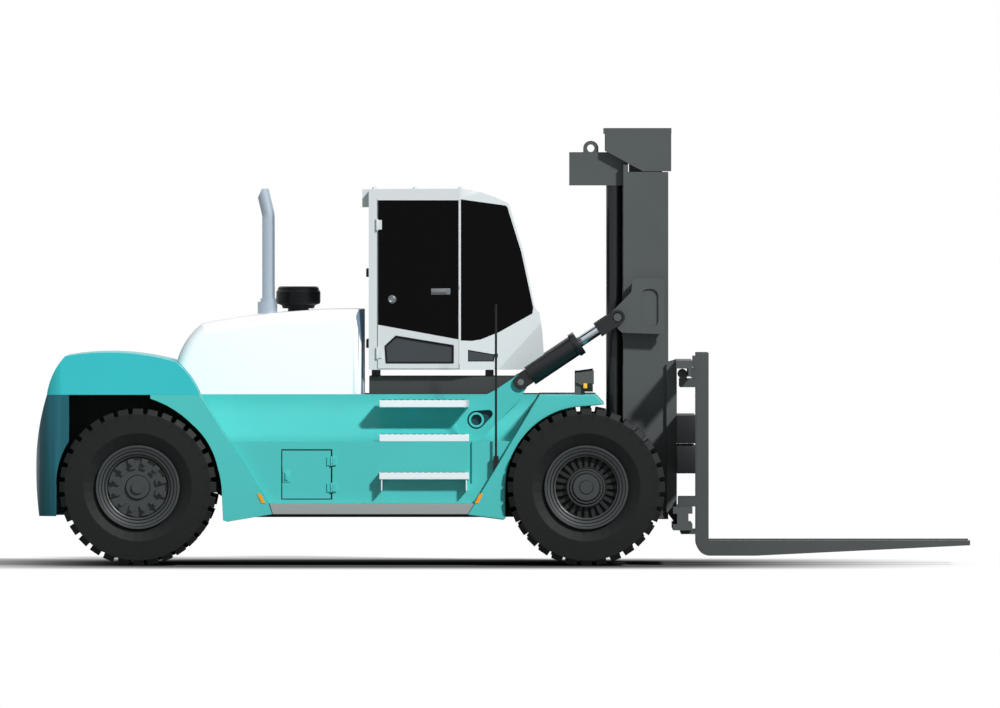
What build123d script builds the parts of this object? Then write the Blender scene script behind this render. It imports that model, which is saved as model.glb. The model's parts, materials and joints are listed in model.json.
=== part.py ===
from build123d import *
import os
from math import atan2, cos, hypot, pi, radians, sin, tan

# A heavy counterbalance forklift, in millimetres.
# +X is forward, +Y is the truck's left and Z is up from the ground.

# Overall lengths
wheelbase = 4250
rear_overhang = 966
front_to_fork_face = 1165
fork_length = 2484

# Wheels
tyre_radius = 745
tyre_width = 432
bead_radius = 318
lug_count = 32
lug_depth = 52
lug_gap = 46
rear_track_y = 1250
twin_outer_y = 1359
twin_spacing = 490
rim_flange_radius = 396
rim_inner_radius = 292

# Steering
kingpin_offset = 250
kingpin_radius = 40
spindle_radius = 60
drive_spindle_radius = 70
sweep_gap = 12

# Body widths, measured from the centre line
body_half_width = 1450
frame_half_width = 705
hood_half_width = 705
fender_step = 80
front_frame_half_width = 560
rear_frame_half_width = 300
plate_thickness = 55

# Body heights
deck_z = 1620
ledge_z = 1178
sill_top_z = 590
sill_bottom_z = 488
frame_bottom_z = 452
counterweight_bottom_z = 470
cap_top_z = 2019
hood_rear_z = 1932
hood_front_z = 2428

# Cab
cab_floor_z = 1852
cab_roof_z = 3572
cab_half_width = 760
nose_half_width = 560
cab_wall = 45
glass_thickness = 8
door_gap = 6

# Mast
mast_half_width = 600
rail_web = 40
rail_flange = 46
outer_rail_rear_x = 354
outer_rail_front_x = 782
outer_rail_width = 155
mast_bottom_z = 431
outer_rail_top_z = 3732
head_top_z = 4149
mast_slide_gap = 12
tilt_pin_x = 282
tilt_pin_z = 600
tilt_pin_radius = 45

# Tilt cylinders
tilt_y = 740
tilt_base_x = -621
tilt_base_z = 1735
tilt_eye_x = 299
tilt_eye_z = 2351
tilt_barrel_radius = 98
tilt_rod_radius = 46
tilt_tongue = 70
tilt_ear = 30
pin_clearance = 0.3
tilt_eye_pin_radius = 38
eye_drift = 11
side_clearance = 5

# Lift cylinders
lift_y = 430
lift_x = 272
lift_barrel_radius = 78
lift_rod_radius = 45

# Carriage and forks
carriage_half_width = 1200
fork_width = 250
fork_thickness = 119
fork_rest_y = 600
fork_top_z = 2012
fork_blade_top_z = 230
fork_blade_bottom_z = 85
fork_tip_thickness = 46
seat_gap = 0.3

overall_length = rear_overhang + wheelbase + front_to_fork_face + fork_length
rear_x = rear_overhang - overall_length / 2
front_x = rear_x + wheelbase
axle_z = tyre_radius
fork_face_x = front_x + front_to_fork_face
kingpin_y = rear_track_y - kingpin_offset
box_half_width = body_half_width - fender_step

os.makedirs("parts", exist_ok=True)


def save(part, label):
    part.label = label
    export_step(part, "parts/" + label + ".step")


def save_pair(part, label):
    """Save a right-hand piece and its left-hand mirror copy."""
    save(part, label + "_right")
    save(mirror(part, about=Plane.XZ), label + "_left")


def side_plane(y):
    """A plane seen from the truck's right side, with sketch x forward and sketch y up."""
    return Plane.XZ.offset(-y)


def plate(points, low_y, high_y, mode=Mode.ADD):
    """Extrude a side outline between two distances from the centre line."""
    with BuildSketch(side_plane(high_y)) as face:
        with BuildLine():
            Polyline(*points, close=True)
        make_face()
    extrude(face.sketch, amount=high_y - low_y, mode=mode)


def block(x, y, z, mode=Mode.ADD):
    """A box from three (low, high) ranges."""
    middle = ((x[0] + x[1]) / 2, (y[0] + y[1]) / 2, (z[0] + z[1]) / 2)
    with Locations(middle):
        Box(x[1] - x[0], y[1] - y[0], z[1] - z[0], mode=mode)


def round_bar(x, z, radius, low_y, high_y, mode=Mode.ADD):
    """A cylinder along Y."""
    with BuildSketch(side_plane(high_y)) as disc:
        with Locations((x, z)):
            Circle(radius)
    extrude(disc.sketch, amount=high_y - low_y, mode=mode)


def post(x, y, radius, low_z, high_z, mode=Mode.ADD):
    """A cylinder along Z."""
    with BuildSketch(Plane.XY.offset(low_z)) as disc:
        with Locations((x, y)):
            Circle(radius)
    extrude(disc.sketch, amount=high_z - low_z, mode=mode)


def both_sides():
    """Add the left-hand copy of a right- or left-hand piece."""
    mirror(about=Plane.XZ)


def at(points, x):
    """Shift a side outline forward by an axle's place."""
    return [(px + x, pz) for px, pz in points]


def slice_off(first, second, third, outward_x=1000, inset=0):
    """Cut away what lies beyond the plane through three points, moved inwards by inset."""
    first, second, third = Vector(*first), Vector(*second), Vector(*third)
    normal = (second - first).cross(third - first).normalized()
    if normal.dot(first - Vector(first.X - outward_x, 0, first.Z)) < 0:
        normal = -normal
    with BuildSketch(Plane(origin=first - normal * inset, x_dir=second - first, z_dir=normal)) as cutter:
        Rectangle(3000, 3000)
    extrude(cutter.sketch, amount=600, mode=Mode.SUBTRACT)


def on_line(a, b, z):
    """The x at height z on the line through two points."""
    return a[0] + (b[0] - a[0]) * (z - a[1]) / (b[1] - a[1])


# Points that several pieces share, as (x, z)
arm_outline = [
    (-1226, 1345),
    (-1212, 1402),
    (-1114, 1535),
    (-863, 1659),
    (tilt_base_x - 55, tilt_base_z + 50),
    (tilt_base_x + 60, tilt_base_z - 45),
    (-628, 1568),
    (-863, 1331),
    (-990, 1200),
    (-1020, ledge_z + 1),
    (-1150, ledge_z + 1),
    (-1206, 1240),
]
cap_front_top = (rear_x + 357, hood_rear_z)
cap_front_middle = (rear_x + 490, 1795)
cap_front_foot = (rear_x + 586, deck_z)
rear_diagonal = [(rear_x + 588, deck_z), (rear_x + 1239, sill_top_z)]
front_diagonal = [(front_x - 456, deck_z - 20), (front_x - 815, 1001), (front_x - 1126, 479)]
cab_rear_x = front_x - 2065
hood_front_x = cab_rear_x - 42


def front_edge_x(z):
    """The front fender's slanting rear edge at a height."""
    upper, middle, lower = front_diagonal
    if z > middle[1]:
        return on_line(upper, middle, z)
    return on_line(middle, lower, z)


# Steered tyre's swept space, turned about the kingpin
outer_reach = tyre_width / 2 + kingpin_offset
sweep_radius = hypot(tyre_radius, outer_reach) + sweep_gap
sweep_half = hypot(tyre_radius * cos(radians(45)), outer_reach) + sweep_gap
sweep_top_z = axle_z + tyre_radius + 2 * sweep_gap


def steer_sweep():
    """Cut the space that the right steered tyre turns in, as far in as the rear frame."""
    with BuildPart(mode=Mode.PRIVATE) as dome:
        with BuildSketch(Plane.XZ) as half:
            with BuildLine():
                base = Line((0, 0), (sweep_radius, 0))
                side = Line(base @ 1, (sweep_radius, axle_z))
                crown = ThreePointArc(
                    side @ 1,
                    (sweep_half + sweep_gap, axle_z + tyre_radius * sin(radians(45)) + sweep_gap),
                    (outer_reach, sweep_top_z),
                )
                Polyline(crown @ 1, (0, sweep_top_z), (0, 0))
            make_face()
        revolve(half.sketch, axis=Axis.Z)
    return dome.part


# Counterweight, lower block
with BuildPart() as counterweight_lower:
    with BuildSketch(side_plane(body_half_width)) as lower_side:
        with BuildLine():
            waist = (rear_x - rear_overhang, 930)
            upper_rear = TangentArc(waist, (rear_x - 862, deck_z), tangent=(0, 1))
            lower_rear = TangentArc(waist, (rear_x - 936, counterweight_bottom_z), tangent=(0, -1))
            Polyline(
                lower_rear @ 1,
                (rear_x - 652, counterweight_bottom_z),
                (rear_x - 652, deck_z),
                upper_rear @ 1,
            )
        make_face()
    extrude(lower_side.sketch, amount=2 * body_half_width)
    with BuildSketch(Plane.XY) as lower_plan:
        with Locations((rear_x, 0)):
            Rectangle(2 * rear_overhang, 2 * body_half_width)
        fillet(lower_plan.vertices(), radius=240)
    extrude(lower_plan.sketch, amount=deck_z, mode=Mode.INTERSECT)
    swept_space = steer_sweep()
    right_sweep = swept_space.moved(Location((rear_x, -kingpin_y, 0)))
    left_sweep = swept_space.moved(Location((rear_x, kingpin_y, 0)))
    with BuildPart(mode=Mode.PRIVATE) as spine:
        block((rear_x - 900, rear_x), (-rear_frame_half_width, rear_frame_half_width), (0, deck_z))
    add(right_sweep - spine.part, mode=Mode.SUBTRACT)
    add(left_sweep - spine.part, mode=Mode.SUBTRACT)
save(counterweight_lower.part, "counterweight_lower")

# Counterweight, cap
with BuildPart() as counterweight_cap:
    with BuildSketch(side_plane(body_half_width)) as cap_side:
        with BuildLine():
            rear_foot = (rear_x - 862, deck_z)
            shoulder = ThreePointArc(rear_foot, (rear_x - 800, 1825), (rear_x - 690, 1985))
            crown = ThreePointArc(shoulder @ 1, (rear_x - 304, cap_top_z), cap_front_top)
            front = ThreePointArc(crown @ 1, cap_front_middle, cap_front_foot)
            Line(front @ 1, rear_foot)
        make_face()
    extrude(cap_side.sketch, amount=2 * body_half_width)
    with BuildSketch(Plane.XY) as cap_plan:
        with Locations((rear_x, 0)):
            Rectangle(2 * rear_overhang, 2 * body_half_width)
        fillet(cap_plan.vertices(), radius=240)
    extrude(cap_plan.sketch, amount=cap_top_z + 10, mode=Mode.INTERSECT)
save(counterweight_cap.part, "counterweight_cap")

# Frame: side plates, walls and belly between them, a rear spine and a narrow nose
spine_front_x = rear_x + 860
middle_front_x = front_x - 780
wall_thickness = 60
belly_thickness = 20
pivot_block_x = (front_x + 155, front_x + 203)
frame_inner_y = frame_half_width - plate_thickness
nose_inner_y = front_frame_half_width - plate_thickness
spine_inner_y = rear_frame_half_width - plate_thickness
with BuildPart() as chassis_frame:
    block(
        (spine_front_x, middle_front_x),
        (-frame_half_width, -frame_inner_y),
        (frame_bottom_z, deck_z),
    )
    both_sides()
save(chassis_frame.part, "chassis_frame")

belly_top_z = frame_bottom_z + belly_thickness
cross_member_x = (hood_front_x - 100, hood_front_x - 20)
with BuildPart() as frame_walls:
    for low_x in (spine_front_x, middle_front_x - wall_thickness):
        block(
            (low_x, low_x + wall_thickness),
            (-frame_inner_y, frame_inner_y),
            (frame_bottom_z, deck_z),
        )
    block(
        (spine_front_x + wall_thickness + seat_gap, middle_front_x - wall_thickness - seat_gap),
        (-frame_inner_y, frame_inner_y),
        (frame_bottom_z, belly_top_z),
    )
    block(cross_member_x, (-frame_inner_y, frame_inner_y), (belly_top_z + seat_gap, 700))
    block((front_x - 430, front_x - 370), (-nose_inner_y, nose_inner_y), (frame_bottom_z, 1500))
save(frame_walls.part, "frame_walls")

with BuildPart() as frame_spine:
    spine_outline = [
        (rear_x - 652 + seat_gap, 1000),
        (rear_x - 652 + seat_gap, deck_z),
        (spine_front_x, deck_z),
        (spine_front_x, 590),
        (rear_x + 300, 1000),
    ]
    plate(spine_outline, -rear_frame_half_width, -spine_inner_y)
    both_sides()
    block((rear_x - 600, rear_x - 500), (-spine_inner_y, spine_inner_y), (1000, deck_z))
    block((rear_x - 160, rear_x + 160), (-spine_inner_y, spine_inner_y), (1000, 1100))
save(frame_spine.part, "frame_spine")

with BuildPart() as frame_nose:
    nose = at(
        [
            (middle_front_x - front_x, frame_bottom_z),
            (middle_front_x - front_x, deck_z),
            (-200, deck_z),
            (60, 1100),
            (120, 720),
            (pivot_block_x[1] - front_x, 720),
            (pivot_block_x[1] - front_x, frame_bottom_z),
        ],
        front_x,
    )
    plate(nose, -front_frame_half_width, -nose_inner_y)
    both_sides()
    block(pivot_block_x, (-nose_inner_y - 1, nose_inner_y + 1), (470, 720))
    for lug_y in (-260, 260):
        lug = at([(198, 480), (198, 700), (tilt_pin_x, 672), (tilt_pin_x, 528)], front_x)
        plate(lug, lug_y - 27, lug_y + 27)
        round_bar(front_x + tilt_pin_x, tilt_pin_z, 72, lug_y - 27, lug_y + 27)
        bore = tilt_pin_radius + pin_clearance
        round_bar(front_x + tilt_pin_x, tilt_pin_z, bore, lug_y - 40, lug_y + 40, mode=Mode.SUBTRACT)
    round_bar(front_x, axle_z, 150, -600, 600, mode=Mode.SUBTRACT)
save(frame_nose.part, "frame_nose")

# Engine, as one block on the frame's belly
with BuildPart() as engine_block:
    engine_rear_x = hood_front_x - 1143
    engine_front_x = cross_member_x[0] - 20
    block((engine_rear_x, engine_front_x), (-380, 380), (frame_bottom_z + 250, 1950))
    for foot_x in (engine_rear_x + 60, engine_front_x - 160):
        block((foot_x, foot_x + 100), (-380, 380), (belly_top_z, frame_bottom_z + 250))
save(engine_block.part, "engine_block")

# Hood
with BuildPart() as hood:
    with BuildSketch(side_plane(hood_half_width)) as hood_side:
        with BuildLine():
            seam = ThreePointArc(
                (cap_front_foot[0] + side_clearance, deck_z),
                (cap_front_middle[0] + side_clearance, cap_front_middle[1]),
                (cap_front_top[0] + side_clearance, hood_rear_z),
            )
            rear_slope = ThreePointArc(seam @ 1, (rear_x + 455, 2135), (rear_x + 600, 2290))
            crown = ThreePointArc(rear_slope @ 1, (rear_x + 1250, 2388), (hood_front_x, hood_front_z))
            Polyline(crown @ 1, (hood_front_x, deck_z), seam @ 0)
        make_face()
    extrude(hood_side.sketch, amount=2 * hood_half_width)
    hood_corners = hood.edges().filter_by(lambda e: e.center().Z > 1950 and abs(e.center().Y) > 700)
    fillet(hood_corners, radius=110)
    block(
        (rear_x + 640, hood_front_x - 40),
        (-hood_half_width + 40, hood_half_width - 40),
        (deck_z - 1, 2230),
        mode=Mode.SUBTRACT,
    )
    hood_facet = [
        (hood_front_x - 92, -hood_half_width, 2425),
        (hood_front_x - 8, -hood_half_width, 1780),
        (hood_front_x, -hood_half_width + 150, 2425),
    ]
    slice_off(*hood_facet)
    slice_off(*[(x, -y, z) for x, y, z in hood_facet])
save(hood.part, "hood")

# Rear fenders, one each side, cut back for the steered tyres
with BuildPart() as rear_fenders:
    with BuildSketch(side_plane(-frame_half_width)) as rear_fender_side:
        with BuildLine():
            top = Line((rear_x + 118, deck_z), rear_diagonal[0])
            slope = Line(top @ 1, rear_diagonal[1])
            toe = Polyline(slope @ 1, (rear_x + 1272, 488), (rear_x + 848, 417), (rear_x + 807, 431))
            lip = Line(toe @ 1, (rear_x + 793, axle_z))
            arch = ThreePointArc(lip @ 1, (rear_x + 609, 1228), (rear_x + 118, 1583))
            Line(arch @ 1, top @ 0)
        make_face()
    extrude(rear_fender_side.sketch, amount=body_half_width - frame_half_width)
    add(right_sweep, mode=Mode.SUBTRACT)
    both_sides()
save(rear_fenders.part, "rear_fenders")

# Front fenders over the twin tyres
arch_radius = tyre_radius + 20
with BuildPart() as front_fenders:
    with BuildSketch(side_plane(-frame_half_width)) as front_fender_side:
        with BuildLine():
            tip = Polyline(
                (front_x - 456, deck_z - 20),
                (front_x - 445, deck_z),
                (front_x + 88, deck_z),
                (front_x + 173, 1530),
                (front_x + 93, 1521),
                (front_x, axle_z + arch_radius),
            )
            arch = CenterArc((front_x, axle_z), arch_radius, 90, 90)
            Polyline(
                arch @ 1,
                (front_x - arch_radius, 449),
                (front_x - 784, 435),
                front_diagonal[2],
                front_diagonal[1],
                tip @ 0,
            )
        make_face()
    extrude(front_fender_side.sketch, amount=body_half_width - frame_half_width)
    both_sides()
save(front_fenders.part, "front_fenders")

# Side boxes between the fenders, with a pocket for the hatch
hatch_rear_x = rear_x + 1365
hatch_front_x = hatch_rear_x + 468
hatch_low_z = 633
hatch_high_z = 1096
hatch_thickness = 26
hatch_pin_radius = 10
hatch_pin_y = -box_half_width - hatch_pin_radius - 2
hatch_hinge_z = (740, 990)
groove_x = front_x - 1102
with BuildPart() as side_boxes:
    box_outline = [
        (on_line(*rear_diagonal, ledge_z), ledge_z),
        (rear_diagonal[1][0], sill_top_z),
        (front_edge_x(sill_top_z), sill_top_z),
        (front_diagonal[1][0], front_diagonal[1][1]),
        (front_edge_x(ledge_z), ledge_z),
    ]
    plate(box_outline, -box_half_width, -frame_half_width)
    block(
        (hatch_rear_x - door_gap, hatch_front_x + door_gap),
        (-box_half_width - 1, -box_half_width + hatch_thickness + door_gap),
        (hatch_low_z - door_gap, hatch_high_z + door_gap),
        mode=Mode.SUBTRACT,
    )
    block(
        (groove_x - 16, groove_x + 16),
        (-box_half_width - 1, -box_half_width + 25),
        (776, ledge_z + 1),
        mode=Mode.SUBTRACT,
    )
    for hinge_z in hatch_hinge_z:
        block(
            (hatch_front_x + hatch_pin_radius + seat_gap, hatch_front_x + 50),
            (-box_half_width - 2 * hatch_pin_radius, -box_half_width + 5),
            (hinge_z - 40, hinge_z + 40),
        )
    both_sides()
save(side_boxes.part, "side_boxes")

# Sills under the side boxes
with BuildPart() as sills:
    sill_outline = [
        (rear_x + 1272 + side_clearance, sill_bottom_z),
        (rear_diagonal[1][0] + side_clearance, sill_top_z),
        (front_edge_x(sill_top_z), sill_top_z),
        (front_edge_x(sill_bottom_z), sill_bottom_z),
    ]
    plate(sill_outline, -body_half_width, -body_half_width + 250)
    both_sides()
save(sills.part, "sills")

# Concave panels from the deck's edge out to the ledge over the side boxes
panel_radius = 420
panel_top_y = frame_half_width + 5
with BuildPart() as upper_side_panels:
    with BuildSketch(Plane.YZ.offset(rear_diagonal[0][0])) as panel_section:
        with BuildLine():
            curve_top = (-panel_top_y, ledge_z + panel_radius)
            curve_foot = (-panel_top_y - panel_radius, ledge_z)
            bend = (
                curve_foot[0] + panel_radius * cos(radians(45)),
                curve_top[1] - panel_radius * sin(radians(45)),
            )
            ThreePointArc(curve_top, bend, curve_foot)
            Polyline(
                curve_foot,
                (-frame_half_width, ledge_z),
                (-frame_half_width, deck_z),
                (-panel_top_y, deck_z),
                curve_top,
            )
        make_face()
    extrude(panel_section.sketch, amount=front_diagonal[0][0] - rear_diagonal[0][0] + 400)
    panel_side = [
        (rear_diagonal[0][0] + 1, deck_z),
        (on_line(*rear_diagonal, ledge_z) + 1, ledge_z),
        (front_edge_x(ledge_z) - 1, ledge_z),
        (front_diagonal[0][0] - 1, deck_z),
    ]
    with BuildSketch(side_plane(0)) as panel_outline:
        with BuildLine():
            Polyline(*panel_side, close=True)
        make_face()
    extrude(panel_outline.sketch, amount=body_half_width, mode=Mode.INTERSECT)
    plate(at(arm_outline, front_x), -body_half_width, -frame_half_width, mode=Mode.SUBTRACT)
    both_sides()
save(upper_side_panels.part, "upper_side_panels")

# Steps up to the cab doors: (low z, high z, inner y, outer y)
step_rear_x = front_x - 1963
step_front_x = front_x - 1112
step_rows = [
    (1499, 1566, tilt_y + tilt_tongue / 2 + side_clearance, 1080),
    (ledge_z, ledge_z + 66, 1140, box_half_width),
    (818, 884, box_half_width, box_half_width + 130),
]
with BuildPart() as steps:
    for low_z, high_z, inner_y, outer_y in step_rows:
        block((step_rear_x, step_front_x), (-outer_y, -inner_y), (low_z, high_z))
    for bracket_x in (step_rear_x + 80, step_rear_x + 560):
        block((bracket_x, bracket_x + 60), (-tilt_y - 60, -frame_half_width), (1505, 1560))
    for bracket_x in (step_rear_x + 18, step_front_x - 30):
        block((bracket_x, bracket_x + 12), (-box_half_width - 120, -box_half_width), (708, 830))
    both_sides()
    add(upper_side_panels.part, mode=Mode.SUBTRACT)
save(steps.part, "steps")

# Cab platform with its four mounts
platform_half_width = 640
with BuildPart() as cab_platform:
    block(
        (front_x - 2061, front_x - 606),
        (-platform_half_width, platform_half_width),
        (deck_z, 1788),
    )
    with Locations(
        *[
            (front_x + x, y, (1788 + cab_floor_z) / 2)
            for x in (-1998, -918)
            for y in (-520, 520)
        ]
    ):
        Box(80, 120, cab_floor_z - 1788)
save(cab_platform.part, "cab_platform")

# Cab: one outline seen from the side and one seen from above, offset inwards for walls and glass
cab_outline = at(
    [
        (-2065, cab_floor_z),
        (-2065, 3550),
        (-2040, cab_roof_z - 4),
        (-1178, cab_roof_z),
        (-1008, 3541),
        (-865, 3490),
        (-752, 3440),
        (-729, 3418),
        (-596, 2972),
        (-485, 2434),
        (-443, 2386),
        (-416, 2219),
        (-401, 1997),
        (-401, 1871),
        (-420, cab_floor_z),
    ],
    front_x,
)
door_seam_x = front_x - 1199
nose_x = front_x - 401
cab_plan = [
    (cab_rear_x, -cab_half_width),
    (door_seam_x, -cab_half_width),
    (nose_x, -nose_half_width),
    (nose_x, nose_half_width),
    (door_seam_x, cab_half_width),
    (cab_rear_x, cab_half_width),
]


def cab_form(inset):
    """The cab's closed form, every wall moved inwards by inset."""
    with BuildPart(mode=Mode.PRIVATE) as form:
        with BuildSketch(side_plane(cab_half_width)) as side:
            with BuildLine():
                Polyline(*cab_outline, close=True)
            make_face()
            if inset:
                offset(amount=-inset, kind=Kind.INTERSECTION, mode=Mode.REPLACE)
        extrude(side.sketch, amount=2 * cab_half_width)
        with BuildSketch(Plane.XY.offset(cab_floor_z - 1)) as plan:
            with BuildLine():
                Polyline(*cab_plan, close=True)
            make_face()
            if inset:
                offset(amount=-inset, kind=Kind.INTERSECTION, mode=Mode.REPLACE)
        extrude(plan.sketch, amount=cab_roof_z - cab_floor_z + 2, mode=Mode.INTERSECT)
        for facet_side in (-1, 1):
            slice_off(
                (front_x - 466, facet_side * on_line((760, -1199), (560, -401), -466), 2254),
                (front_x - 804, facet_side * on_line((760, -1199), (560, -401), -804), 1885),
                (front_x - 401, facet_side * 440, cab_floor_z),
                inset=inset,
            )
    return form.part


door_outline = at([(-1986, 1857), (-1986, 3470), (-1204, 3470), (-1204, 1857)], front_x)
door_glass_outline = at([(-1978, 2280), (-1978, 3462), (-1212, 3462), (-1212, 2140)], front_x)
door_low_glass = at([(-1805, 2168), (-1264, 2078), (-1264, 1922), (-1895, 1922), (-1905, 2075)], front_x)
side_glass = at(
    [
        (-1190, 2130),
        (-1190, 3472),
        (-762, 3412),
        (-748, 3396),
        (-616, 2972),
        (-502, 2440),
        (-510, 2385),
        (-833, 2206),
        (-1000, 2140),
        (-1084, 2126),
    ],
    front_x,
)
nose_glass = at([(-1122, 2042), (-867, 1997), (-875, 1930), (-1122, 1930)], front_x)


def through_windows(points, grow):
    """A side window's outline cut right across the cab, grown or shrunk all round."""
    with BuildPart(mode=Mode.PRIVATE) as cut:
        with BuildSketch(side_plane(cab_half_width + 50)) as face:
            with BuildLine():
                Polyline(*points, close=True)
            make_face()
            if grow:
                offset(amount=grow, kind=Kind.INTERSECTION, mode=Mode.REPLACE)
        extrude(face.sketch, amount=2 * cab_half_width + 100)
    return cut.part


def end_window(x_range, half_y, z_range, grow):
    """A front or rear window's space, grown or shrunk all round."""
    with BuildPart(mode=Mode.PRIVATE) as cut:
        block(x_range, (-half_y - grow, half_y + grow), (z_range[0] - grow, z_range[1] + grow))
    return cut.part


bonded_rim = 34
windscreen = ((front_x - 790, front_x - 440), 545, (2460, 3400))
rear_window = ((cab_rear_x - 50, cab_rear_x + 100), 560, (2520, 3340))
recess_depth = glass_thickness + seat_gap
cab_outer = cab_form(0)
cab_inner = cab_form(cab_wall)
recess_form = cab_form(recess_depth)
glass_inner = cab_form(glass_thickness)
side_pane_y = -nose_half_width + 60


def sides_only(form):
    """A window's cut kept to the cab's two sides."""
    with BuildPart(mode=Mode.PRIVATE) as core:
        block((cab_rear_x, nose_x), (side_pane_y, -side_pane_y), (cab_floor_z, cab_roof_z))
    return form - core.part


with BuildPart() as cab_shell:
    add(cab_outer)
    block(
        (cab_rear_x - 62, cab_rear_x + 5),
        (-cab_half_width + 120, cab_half_width - 120),
        (3396, 3566),
    )
    add(cab_inner, mode=Mode.SUBTRACT)
    for outline, rim in ((side_glass, bonded_rim), (nose_glass, 0)):
        add(sides_only(through_windows(outline, -rim)), mode=Mode.SUBTRACT)
    add(sides_only((cab_outer - recess_form) & through_windows(side_glass, 0)), mode=Mode.SUBTRACT)
    add(end_window(*windscreen, -bonded_rim), mode=Mode.SUBTRACT)
    add((cab_outer - recess_form) & end_window(*windscreen, 0), mode=Mode.SUBTRACT)
    add(end_window(*rear_window, 0), mode=Mode.SUBTRACT)
    plate(door_outline, -cab_half_width - 1, -cab_half_width + cab_wall, mode=Mode.SUBTRACT)
    plate(door_outline, cab_half_width - cab_wall, cab_half_width + 1, mode=Mode.SUBTRACT)
save(cab_shell.part, "cab_shell")

with BuildPart() as cab_glass:
    bonded = cab_outer - glass_inner
    inset_skin = cab_form(14) - cab_form(14 + glass_thickness)
    add(sides_only(bonded & through_windows(side_glass, -seat_gap)))
    add(sides_only(inset_skin & through_windows(nose_glass, -seat_gap)))
    add(bonded & end_window(*windscreen, -seat_gap))
    add(inset_skin & end_window(*rear_window, -seat_gap))
save(cab_glass.part, "cab_glass")

# Seat and steering console on the cab floor
floor_top_z = cab_floor_z + cab_wall
with BuildPart() as cab_seat:
    block((front_x - 1800, front_x - 1450), (-130, 130), (floor_top_z, floor_top_z + 300))
    block((front_x - 1900, front_x - 1380), (-270, 270), (floor_top_z + 300, floor_top_z + 440))
    back = at([(-1880, 2337), (-1980, 3000), (-1870, 3010), (-1760, 2337)], front_x)
    plate(back, -250, 250)
save(cab_seat.part, "cab_seat")

with BuildPart() as cab_console:
    column = at([(-950, floor_top_z), (-1118, 2668), (-1050, 2708), (-800, floor_top_z)], front_x)
    plate(column, -90, 90)
    wheel_plane = Plane(origin=(front_x - 1090, 0, 2680), z_dir=(-0.5, 0, 0.866))
    with BuildSketch(wheel_plane) as steering_ring:
        Circle(190)
        Circle(165, mode=Mode.SUBTRACT)
        Rectangle(360, 40)
    extrude(steering_ring.sketch, amount=26)
save(cab_console.part, "cab_console")

# Doors: each a frame around one large pane and one low pane
door_inner_y = -cab_half_width + cab_wall
with BuildPart() as cab_door:
    with BuildSketch(side_plane(door_inner_y)) as door_face:
        with BuildLine():
            Polyline(*door_outline, close=True)
        make_face()
        offset(amount=-door_gap, kind=Kind.INTERSECTION, mode=Mode.REPLACE)
    extrude(door_face.sketch, amount=cab_wall)
    plate(door_glass_outline, -cab_half_width - 1, -cab_half_width + recess_depth, mode=Mode.SUBTRACT)
    with BuildSketch(side_plane(door_inner_y + 1)) as door_opening:
        with BuildLine():
            Polyline(*door_glass_outline, close=True)
        make_face()
        offset(amount=-bonded_rim, kind=Kind.INTERSECTION, mode=Mode.REPLACE)
    extrude(door_opening.sketch, amount=cab_wall + 2, mode=Mode.SUBTRACT)
    plate(door_low_glass, -cab_half_width - 1, door_inner_y + 1, mode=Mode.SUBTRACT)
    for hinge_z in (3230, 2010):
        post(front_x - 1986, -cab_half_width - 12, 12, hinge_z - 55, hinge_z + 55)
        block(
            (front_x - 1986, front_x - 1940),
            (-cab_half_width - 14, -cab_half_width - 1),
            (hinge_z - 45, hinge_z + 45),
        )
        block(
            (front_x - 1979.5, front_x - 1978.5),
            (-cab_half_width - 5, -cab_half_width + 5),
            (hinge_z - 45, hinge_z + 45),
        )
save_pair(cab_door.part, "door")

# Door panes, the large one bonded on the outside and the low one set in: (outline, depth in the wall)
pane_rows = [
    (door_glass_outline, 0),
    (door_low_glass, 14),
]
with BuildPart() as door_glass:
    for outline, depth in pane_rows:
        with BuildSketch(side_plane(-cab_half_width + depth + glass_thickness)) as pane_face:
            with BuildLine():
                Polyline(*outline, close=True)
            make_face()
            offset(amount=-seat_gap, kind=Kind.INTERSECTION, mode=Mode.REPLACE)
        extrude(pane_face.sketch, amount=glass_thickness)
save_pair(door_glass.part, "door_glass")

with BuildPart() as hatch:
    block(
        (hatch_rear_x, hatch_front_x),
        (-box_half_width, -box_half_width + hatch_thickness),
        (hatch_low_z, hatch_high_z),
    )
    for hinge_z in hatch_hinge_z:
        post(hatch_front_x, hatch_pin_y, hatch_pin_radius, hinge_z - 45, hinge_z + 45)
        block(
            (hatch_front_x - 40, hatch_front_x),
            (-box_half_width - 12, -box_half_width + 5),
            (hinge_z - 40, hinge_z + 40),
        )
save_pair(hatch.part, "hatch")

# Exhaust stack and air pre-cleaner on the hood
exhaust_x = rear_x + 1230
exhaust_y = -430
exhaust_radius = 61
exhaust_tip_z = 3572
with BuildPart() as exhaust_stack:
    with BuildLine() as exhaust_path:
        FilletPolyline(
            (exhaust_x, exhaust_y, 2420),
            (exhaust_x, exhaust_y, 3325),
            (exhaust_x - 75, exhaust_y, 3640),
            radius=260,
        )
    with BuildSketch(Plane.XY.offset(2420)) as stack_ring:
        with Locations((exhaust_x, exhaust_y)):
            Circle(exhaust_radius)
    sweep(stack_ring.sketch, path=exhaust_path.wires()[0])
    cut_low = (exhaust_x - 122, 3440)
    cut_high = (exhaust_x - 62, exhaust_tip_z)
    mouth = [cut_low, cut_high, (exhaust_x + 200, exhaust_tip_z), (exhaust_x + 200, 3800), (exhaust_x - 400, 3800)]
    plate(mouth, exhaust_y - 100, exhaust_y + 100, mode=Mode.SUBTRACT)
    post(exhaust_x - 10, exhaust_y, 94, 2384, 2497)
    post(exhaust_x, exhaust_y, 76, 2497, 2530)
    add(hood.part, mode=Mode.SUBTRACT)
save(exhaust_stack.part, "exhaust_stack")

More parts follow.
